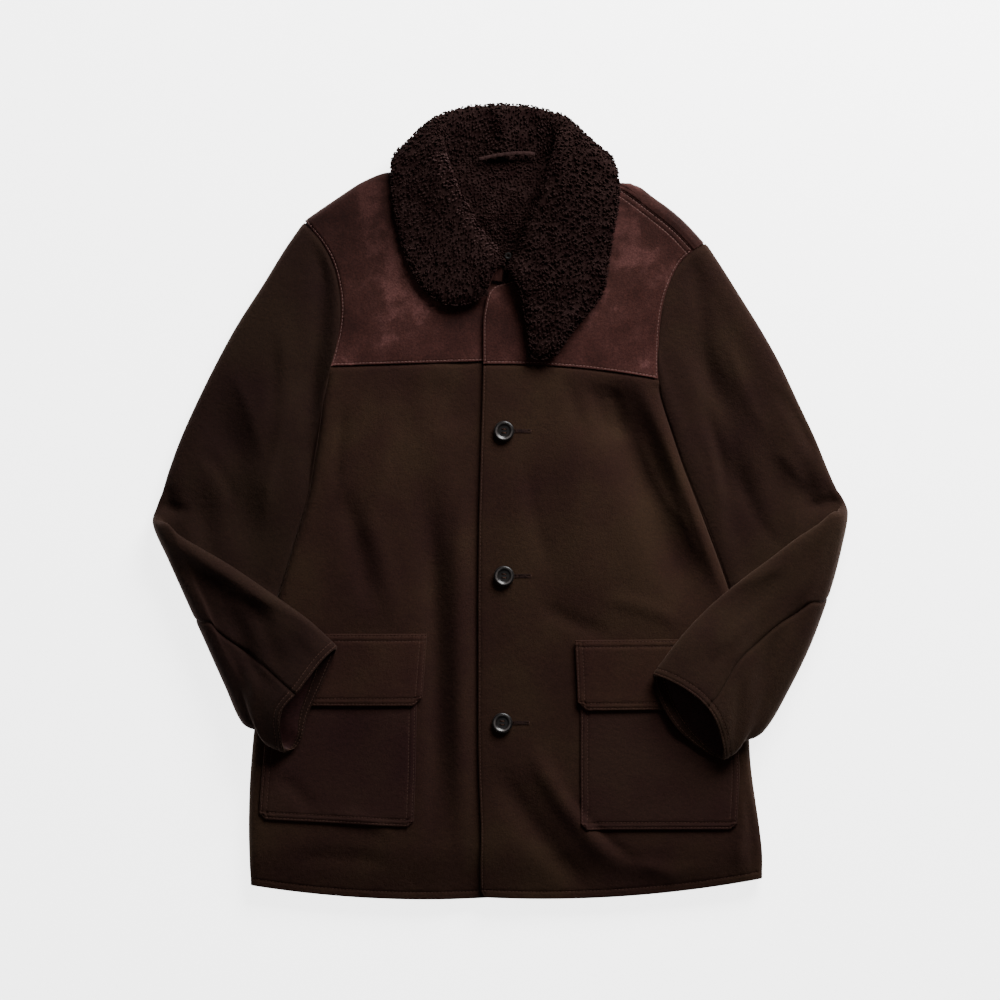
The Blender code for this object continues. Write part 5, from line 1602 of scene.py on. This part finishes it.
# %% The suede under the collar
outer, inner = (spine - across_spine * (SEAM / 2 + depth) for depth in (SUEDE, 0.0))
pair = edge_lines(refine(np.concatenate([outer, inner], axis=-1), SUEDE_FINE), SUEDE_STEP)
collar_under = cloth("collar_under_cloth", pair, SUEDE_FINISH, 0.5)

# %% A lumpy base
LUMP_SIZE = 5.2  # millimetres across the larger lumps


def knobbly(pair, height, seed):
    """Lumps of pile on the face of a grid, from two sizes of noise."""
    lumps = np.empty(pair.shape[:2])
    for i in range(pair.shape[0]):
        for j in range(pair.shape[1]):
            place = Vector(pair[i, j, :3].tolist()) / LUMP_SIZE
            place += Vector((seed, seed * 0.7, 0.0))
            lumps[i, j] = noise.noise(place) + 0.6 * noise.noise(place * 2.3)
    shift = way_out(pair) * (lumps * height)[..., None]
    pair[..., :3] += shift


# %% Places for the curls
def curl_places(pair, spacing, chance):
    """Points, directions out and directions along, spread evenly over a grid but not in rows."""
    rows = steps_along(pair, 0).mean(axis=1)
    cols = steps_along(pair, 1).mean(axis=0)
    found = []
    for row, s in enumerate(np.arange(spacing * 0.35, rows[-1], spacing)):
        shift = spacing * 0.5 * (row % 2)
        for t in np.arange(spacing * 0.35 + shift, cols[-1], spacing):
            i = np.interp(s + chance.uniform(-0.32, 0.32) * spacing, rows, np.arange(len(rows)))
            j = np.interp(t + chance.uniform(-0.32, 0.32) * spacing, cols, np.arange(len(cols)))
            i0, j0 = min(int(i), len(rows) - 2), min(int(j), len(cols) - 2)
            a, b = i - i0, j - j0
            found.append((pair[i0, j0] * (1 - a) + pair[i0 + 1, j0] * a) * (1 - b)
                         + (pair[i0, j0 + 1] * (1 - a) + pair[i0 + 1, j0 + 1] * a) * b)
    found = np.array(found)
    ups = way_out(found)
    shown = ups[:, 2] > -0.25
    return found[shown, :3], ups[shown]


def edge_curls(pair, edges, spacing):
    """Places for curls along the edges of a grid, which lean out over the rim."""
    points, ups = [], []
    for edge in edges:
        axis, from_end = EDGES[edge]
        line = np.take(pair, -1 if from_end else 0, axis=axis)
        inner = np.take(pair, -4 if from_end else 3, axis=axis)
        walked = walk(line[:, :3])
        at = np.interp(np.arange(spacing / 2, walked[-1], spacing), walked, np.arange(len(line)))
        at = np.round(at).astype(int)
        out = line[at, :3] - inner[at, :3]
        out /= np.linalg.norm(out, axis=1)[:, None]
        up = way_out(line[at])
        for lean, depth in ((1.6, 0.5), (3.0, 0.15)):
            way = up + out * lean
            points.append(line[at, :3] * (1 - depth) + line[at, 3:] * depth)
            ups.append(way / np.linalg.norm(way, axis=1)[:, None])
    return np.concatenate(points), np.concatenate(ups)


def scatter_curls(pair, spacing, edges, edge_spacing, chance):
    """Places for curls all over a grid and along some of its edges."""
    places, ups = curl_places(pair, spacing, chance)
    rim_places, rim_ups = edge_curls(pair, edges, edge_spacing)
    return np.concatenate([places, rim_places]), np.concatenate([ups, rim_ups])


# %% Curls of fleece
CURL_RINGS, CURL_SIDES = 6, 4
CURL_WIDTHS = np.array([0.6, 0.95, 1.0, 1.0, 0.8, 0.4])  # of the rings, root to tip


def curl_mesh(points, ups, chance, size):
    """A short thick hook of pile at each point, lying over to one side."""
    count = len(points)
    turn = chance.uniform(0, 2 * math.pi, count)
    helper = np.where(np.abs(ups[:, 2:3]) < 0.9, [[0.0, 0.0, 1.0]], [[1.0, 0.0, 0.0]])
    side = np.cross(ups, helper)
    side /= np.linalg.norm(side, axis=1)[:, None]
    ahead = np.cross(ups, side)
    first = side * np.cos(turn)[:, None] + ahead * np.sin(turn)[:, None]
    second = np.cross(ups, first) * np.where(chance.random(count) < 0.5, -1, 1)[:, None]
    radius = chance.uniform(0.8, 1.25, count) * size
    sweep = chance.uniform(2.6, 4.4, count)
    at = np.linspace(0, 1, CURL_RINGS)
    angle = at[None] * sweep[:, None]
    reach = radius[:, None] * (1.0 - 0.25 * at)
    wave_out = (first[:, None] * np.cos(angle)[..., None]
                + second[:, None] * np.sin(angle)[..., None])
    height = size * (0.15 + 0.75 * np.sin(math.pi * (0.15 + 0.6 * at)))
    centre = points[:, None] + wave_out * reach[..., None] + ups[:, None] * height[None, :, None]
    thick = size * 0.7 * CURL_WIDTHS
    phi = np.arange(CURL_SIDES) * 2 * math.pi / CURL_SIDES
    rings = centre[:, :, None] + thick[None, :, None, None] * (
        wave_out[:, :, None] * np.cos(phi)[:, None] + ups[:, None, None] * np.sin(phi)[:, None])
    faces = []
    for k in range(CURL_RINGS - 1):
        for m in range(CURL_SIDES):
            a, b = k * CURL_SIDES + m, k * CURL_SIDES + (m + 1) % CURL_SIDES
            faces.append((a, b, b + CURL_SIDES, a + CURL_SIDES))
    last = (CURL_RINGS - 1) * CURL_SIDES
    faces += [tuple(range(CURL_SIDES))[::-1], tuple(range(last, last + CURL_SIDES))]
    stride = CURL_RINGS * CURL_SIDES
    every = [tuple(n * stride + k for k in face) for n in range(count) for face in faces]
    return rings.reshape(-1, 3), every


# %% The collar's fleece
PILE_STEP, CURL_ROOM = 2.2, 2.6  # the grid's step, and how far the curls stand up from it
CURL_SPACING, RIM_SPACING, CURL_SIZE = 4.0, 3.8, 1.55
CURL_SEED = 41
pile = np.full(spine.shape[:2], COLLAR_FLEECE)
pile[:, 0] = COLLAR_FLEECE - 1.5  # lower at the neck seam, the rim and the two ends
pile[:, -1] = COLLAR_FLEECE * 0.5
pile[[0, -1]] -= 2.0
base = np.concatenate([spine + across_spine * (SEAM / 2 + pile - CURL_ROOM)[:, :, None],
                       spine + across_spine * (SEAM / 2)], axis=-1)
pair = edge_lines(refine(base, PILE_STEP), PILE_STEP)
knobbly(pair, 1.5, 3.1)
chance = np.random.default_rng(CURL_SEED)
places, ups = scatter_curls(pair, CURL_SPACING, ("first_row", "last_row", "last_line"),
                            RIM_SPACING, chance)
collar_upper = cloth("collar_upper_cloth", pair, FLEECE, 1.2)

# %% The collar's curls
# Where the right half of the collar turns over, its curls get a paler fleece: a painted highlight
# along the crest that faces the lamp.
CREST_X, CREST_LOW, CREST_HIGH = -4.0, 240.0, 385.0
CREST_REACH, CREST_SHARE = 7.6, 0.85
crest = spine[:, 2:4].reshape(-1, 3)
crest = crest[(crest[:, 0] < CREST_X) & (crest[:, 1] > CREST_LOW) & (crest[:, 1] < CREST_HIGH)]
near = np.min(np.linalg.norm(places[:, None] - crest[None], axis=2), axis=1)
# Curls near the crest of the right half get the painted highlight.
crest_highlight = (near < CREST_REACH) & (chance.random(len(places)) < CREST_SHARE)
collar_curls = []
for name, chosen, finish in (("collar_curls", ~crest_highlight, FLEECE),
                             ("collar_crest_highlight_curls", crest_highlight, CREST_HIGHLIGHT_FLEECE)):
    points, faces = curl_mesh(places[chosen], ups[chosen], chance, CURL_SIZE)
    collar_curls.append(add_mesh(name, points, faces, finish, sharp=180))
    print(name, chosen.sum())

# %% The fleece that lines the neck
NECK_STEP, NECK_CURL_ROOM = 2.4, 3.2
NECK_SPACING, NECK_RIM_SPACING, NECK_CURL_SIZE = 3.1, 2.4, 1.1
first, last = BACK_NECK
lining = yoke_pair[2:, first:last + 1, 3:].copy()
lining[-1, :, 1] -= 2 * SEAM
lining[:, 0, 0] += 2 * SEAM
lining[:, -1, 0] -= 2 * SEAM
lining[..., 2] += SEAM
up = np.array([0.0, 0.0, NECK_FLEECE - NECK_CURL_ROOM])
base = np.concatenate([lining + up, lining], axis=-1)
pair = edge_lines(refine(base, NECK_STEP), NECK_STEP)
knobbly(pair, 0.8, 8.3)
places, ups = scatter_curls(pair, NECK_SPACING, ("first_line", "last_line", "last_row"),
                            NECK_RIM_SPACING, chance)
neck_lining = cloth("neck_lining_cloth", pair, NECK_FLEECE_FINISH, 1.0)
points, faces = curl_mesh(places, ups, chance, NECK_CURL_SIZE)
neck_curls = add_mesh("neck_curls", points, faces, NECK_FLEECE_FINISH, sharp=180)
print("curls behind the neck", len(places))

# %% [markdown]
# ## Buttons
# A coat button is a thick disc of horn with a raised rim, a dished face and four holes. Thread
# crosses between the holes. The rim is turned from a profile, and the holes are really cut: the
# floor of the dish is filled round them with triangles.

# %% A button with four holes
HOLE_RADIUS, HOLE_PLACE, HOLE_SIDES = 1.1, 2.0, 14
FLOOR_RADIUS, TURN_STEPS = 5.6, 48


def circle(radius, steps, centre=(0.0, 0.0)):
    """Points round a circle in plan."""
    angle = np.arange(steps) * 2 * math.pi / steps
    return np.stack([centre[0] + radius * np.cos(angle),
                     centre[1] + radius * np.sin(angle)], axis=-1)


def button_floor(work, height):
    """The flat middle of a button at a height, with its holes left open."""
    loops = [circle(FLOOR_RADIUS, TURN_STEPS)]
    loops += [circle(HOLE_RADIUS, HOLE_SIDES, (HOLE_PLACE * a, HOLE_PLACE * b))
              for a in (-1, 1) for b in (-1, 1)]
    edges, rings = [], []
    for loop in loops:
        ring = [work.verts.new((x, y, height)) for x, y in loop]
        edges += [work.edges.new((a, b)) for a, b in zip(ring, ring[1:] + ring[:1])]
        rings.append(ring)
    bmesh.ops.triangle_fill(work, use_beauty=True, use_dissolve=False, edges=edges)
    return rings


def turn_button():
    """The points and faces of a button that stands on zero, turned from its profile."""
    work = bmesh.new()
    r = BUTTON_RADIUS
    profile = [(FLOOR_RADIUS, 2.1), (6.6, 2.35), (7.6, 3.1), (8.5, 3.95), (9.3, 4.15), (10.2, 3.95),
               (r - 0.35, 3.3), (r, 2.5), (r, 1.2), (r - 0.7, 0.4), (r - 1.8, 0.0),
               (FLOOR_RADIUS, 0.0)]
    top = button_floor(work, profile[0][1])
    bottom = button_floor(work, profile[-1][1])
    rings = [top[0]]
    rings += [[work.verts.new((x, y, z)) for x, y in circle(radius, TURN_STEPS)]
              for radius, z in profile[1:-1]]
    rings.append(bottom[0])
    for upper, lower in list(zip(rings, rings[1:])) + list(zip(top[1:], bottom[1:])):
        count = len(upper)
        for k in range(count):
            work.faces.new((upper[k], upper[(k + 1) % count], lower[(k + 1) % count], lower[k]))
    bmesh.ops.recalc_face_normals(work, faces=work.faces)
    points = np.array([point.co[:] for point in work.verts])
    work.verts.index_update()
    faces = [[point.index for point in face.verts] for face in work.faces]
    work.free()
    return points, faces


print("points of a button", len(turn_button()[0]))

# %% Sew on the buttons
RIM_CREST = (7.9, 9.0)  # the paler top of the rim: a painted highlight
THREAD_SHIFTS = (-0.45, 0.0, 0.45)  # three threads side by side, the middle one on top


def button_height(place):
    """The level that a button stands on: the highest of the cloth under it."""
    spots = np.concatenate([circle(BUTTON_RADIUS, 8, place), [place]])
    return float(left_top(spots[:, 0], spots[:, 1]).max()) + 2 * SEAM


def make_button(number, place):
    """A button on the left front, and the threads between its holes."""
    points, faces = turn_button()
    height = button_height(place)
    points = points + np.array([place[0], place[1], height])
    name = f"button_{number}"
    button = add_mesh(name + "_turned", points, faces, HORN, (name,), sharp=40)
    # The top of the rim takes the paler horn: a painted highlight.
    button.data.materials.append(RIM_HORN_PAINTED_HIGHLIGHT)
    centre = Vector(((place[0] - ORIGIN[0]) * MM, (place[1] - ORIGIN[1]) * MM))
    for face in button.data.polygons:
        reach = (face.center.xy - centre).length / MM
        if RIM_CREST[0] < reach < RIM_CREST[1] and face.normal.z > 0.3:
            face.material_index = 1
    lines = []
    for across in (-1, 1):
        for shift in THREAD_SHIFTS:
            ends = [(-HOLE_PLACE - 0.5, across * HOLE_PLACE + shift),
                    (HOLE_PLACE + 0.5, across * HOLE_PLACE + shift)]
            line = np.array([(place[0] + x, place[1] + y, height + 2.2 + abs(shift) * -0.4)
                             for x, y in ends])
            lines.append((line, np.tile([0.0, 0.0, 1.0], (2, 1))))
    thread = add_stitches(name + "_thread", lines, "button_horn", THREAD, length=4.9, pitch=9.0,
                          start=0.0)
    return button, thread


buttons = [make_button(number, place) for number, place in enumerate(BUTTON_POINTS, 1)]

# %% [markdown]
# ## Buttonholes, the loop and the sewing
# A buttonhole is a slot edged with close stitches that runs from the button towards the wearer's
# left; a dark bar of painted shade lies sunk in the slot. The loop to hang the coat by is a narrow
# tape behind the neck. Last, every line that was pressed into the cloth gets its stitches.

# %% Buttonholes
HOLE_REACH = (9.0, 29.5)  # from the middle of the button to both ends of the slot
LIP, TACK = (0.5, 2.4), 1.7  # from the slot to both ends of a lip stitch and of the tack


def on_front(ends, lift):
    """A short line on the left front, with its way out."""
    ends = np.array(ends)
    heights = left_top(ends[:, 0], ends[:, 1]) + lift
    return np.concatenate([ends, heights[:, None]], axis=1), np.tile([0.0, 0.0, 1.0], (2, 1))


lips, slot_shades, tacks = [], [], []
for x, y in BUTTON_POINTS:
    first, last = x + HOLE_REACH[0], x + HOLE_REACH[1]
    for lip in (-1, 1):
        lips += [on_front([(spot, y + lip * LIP[0]), (spot, y + lip * LIP[1])], 0.0)
                 for spot in np.arange(first, last, 1.0)]
    # A dark bar sunk into the slot: painted shade.
    slot_shades.append(on_front([(first, y), (last, y)], -0.25))
    tacks.append(on_front([(last, y - TACK), (last, y + TACK)], 0.1))
hole_pieces = [
    add_stitches("buttonhole_lips", lips, "wool_melton", DARK_THREAD_AND_SLOT_SHADE, length=1.85, pitch=9.0,
                 radius=0.5, start=0.0),
    add_stitches("buttonhole_slots", slot_shades, "wool_melton", DARK_THREAD_AND_SLOT_SHADE, length=20.4, pitch=30.0,
                 radius=0.75, start=0.0),
    add_stitches("buttonhole_tacks", tacks, "wool_melton", THREAD, length=3.3, pitch=9.0,
                 radius=0.55, start=0.0)]

# %% The hanger loop
HANGER = table("x y z", [
    (-23, 375, 20.9), (-15, 376.8, 21.5), (-7, 378.5, 21.9), (1, 379.8, 22.2),
    (9, 380.9, 22.3), (17, 381.6, 22.3), (25, 381.8, 22.1), (32, 381.6, 21.6),
    (39, 380.6, 21),
])
HANGER_WIDTH, HANGER_THICK, HANGER_FINE = 3.6, 1.2, 0.8
WAVE, WAVE_TURN = 0.25, 0.9  # the tape waves a little: how high, and how fast along it

line = np.stack([HANGER["x"], HANGER["y"], HANGER["z"]], axis=-1)
half = np.array([0.0, HANGER_WIDTH / 2, 0.0])
tape = np.stack([line - half, line, line + half], axis=1)
pair = np.concatenate([tape + np.array([0.0, 0.0, HANGER_THICK]), tape], axis=-1)
pair = refine(pair, HANGER_FINE)
pair[..., 2] += WAVE * np.cos(pair[..., 0] * WAVE_TURN)
hanger = cloth("hanger_loop_cloth", pair, LOOP_SUEDE, 0.3)

# %% Sew every line
threads = {}
for name, lines in sewn.items():
    on_suede = "yoke" in name or "collar" in name
    threads[name] = add_stitches(name + "_thread", lines, "suede" if on_suede else "wool_melton",
                                 SUEDE_THREAD if on_suede else THREAD)

# %% [markdown]
# ## The pieces that stay as they are
# The small ring at the neck has the right shape already, so it only gets the horn finish.

# %% The neck ring
ring = bpy.data.objects["neck_button"]
for slot in ring.material_slots:
    slot.material = HORN
print("ring", ring.name)

# %% [markdown]
# ## The pieces that go with each piece of cloth
# Each sheet of cloth is gathered with the pieces that go with it, such as its threads, buttons and
# curls.

def declare(piece, extra=()):
    """Gather the pieces that go with a piece: its threads and any extra ones."""
    with_pieces = list(extra)
    if piece.name.removesuffix("_cloth") in threads:
        with_pieces.append(threads[piece.name.removesuffix("_cloth")])


declare(back_panel)
declare(back_yoke)
button_pieces = [piece for pair in buttons for piece in pair]
declare(front_l, extra=button_pieces + hole_pieces)
declare(front_r)
declare(pocket_l)
declare(pocket_r)
declare(flap_l)
declare(flap_r)
declare(front_yoke_l)
declare(front_yoke_r)
declare(sleeve_top_l)
declare(sleeve_top_r)
declare(sleeve_under_l)
declare(sleeve_under_r)
declare(cuff_lining_l)
declare(cuff_lining_r)
declare(collar_under)
declare(collar_upper,
        collar_curls)
declare(neck_lining, extra=(neck_curls,))
declare(hanger)
print("sewn lines", sum(len(lines) for lines in sewn.values()))

# %% [markdown]
# ## Floor, light and camera
# The coat is seen from straight above on a white table. A large soft lamp stands towards the
# collar, so that every fold is lit from above in the picture and throws its shade down, and a
# weaker one fills the shade. The camera is far away with a long lens, as in a flat lay.

# %% The table
TABLE_HALF = 6  # metres from the middle of the table to its edges
TABLE_GLOW = 3.6  # its own light, which keeps it white
corners = [(x * TABLE_HALF, y * TABLE_HALF, 0) for x, y in ((-1, -1), (1, -1), (1, 1), (-1, 1))]
floor_mesh = bpy.data.meshes.new("white_table")
floor_mesh.from_pydata(corners, [], [(0, 1, 2, 3)])
white, white_shader, white_place = start_material("white_card", (0.9, 0.9, 0.9), 0.8)
paper = shade(white, grain(white, white_place, 30.0),
              [(0.3, (0.89, 0.89, 0.89)), (0.7, (0.91, 0.91, 0.91))])
white.node_tree.links.new(paper, white_shader.inputs["Base Color"])
white_shader.inputs["Emission Color"].default_value = (1.0, 1.0, 1.0, 1.0)
white_shader.inputs["Emission Strength"].default_value = TABLE_GLOW
floor_mesh.materials.append(white)
floor = bpy.data.objects.new("white_table", floor_mesh)
floor.location = (0.0, 0.0, -0.0004)
bpy.context.collection.objects.link(floor)
print("table", 2 * TABLE_HALF, "m wide")

# %% Lamps
def add_lamp(name, place, aim, size, watts):
    """A square soft lamp that points at a place."""
    lamp = bpy.data.lights.new(name, "AREA")
    lamp.shape = "RECTANGLE"
    lamp.size, lamp.size_y = size
    lamp.energy = watts
    holder = bpy.data.objects.new(name, lamp)
    holder.location = place
    direction = Vector(aim) - Vector(place)
    holder.rotation_euler = direction.to_track_quat("-Z", "Y").to_euler()
    bpy.context.collection.objects.link(holder)
    print(name, watts, "watts")


# The place, the aim and the size of each lamp are in metres.
add_lamp("key_lamp", (0.85, 1.85, 1.02), (0.0, -0.1, 0.0), (1.5, 0.9), 190.0)
add_lamp("fill_lamp", (-0.6, -0.4, 3.2), (0.0, 0.0, 0.0), (2.4, 2.4), 9.0)
world = bpy.data.worlds.new("studio_air")
bpy.context.scene.world = world
world.use_nodes = True
air = world.node_tree.nodes["Background"]
air.inputs["Color"].default_value = (1.0, 1.0, 1.0, 1.0)
air.inputs["Strength"].default_value = 0.1

# %% Camera
PHOTO_WIDTH = 1.1  # metres across the photo, at 1.1 mm a pixel
CAMERA_HEIGHT = 6.13
COAT_HEIGHT = 0.022  # the level of the coat at which that scale holds
SENSOR = 36.0
camera_data = bpy.data.cameras.new("overhead")
camera_data.sensor_width = SENSOR
camera_data.lens = SENSOR * (CAMERA_HEIGHT - COAT_HEIGHT) / PHOTO_WIDTH
camera_data.clip_end = 30.0
camera = bpy.data.objects.new("overhead", camera_data)
camera.location = (-0.00025, 0.0013, CAMERA_HEIGHT)
bpy.context.collection.objects.link(camera)
bpy.context.scene.camera = camera
print("lens", round(camera_data.lens, 1), "mm")
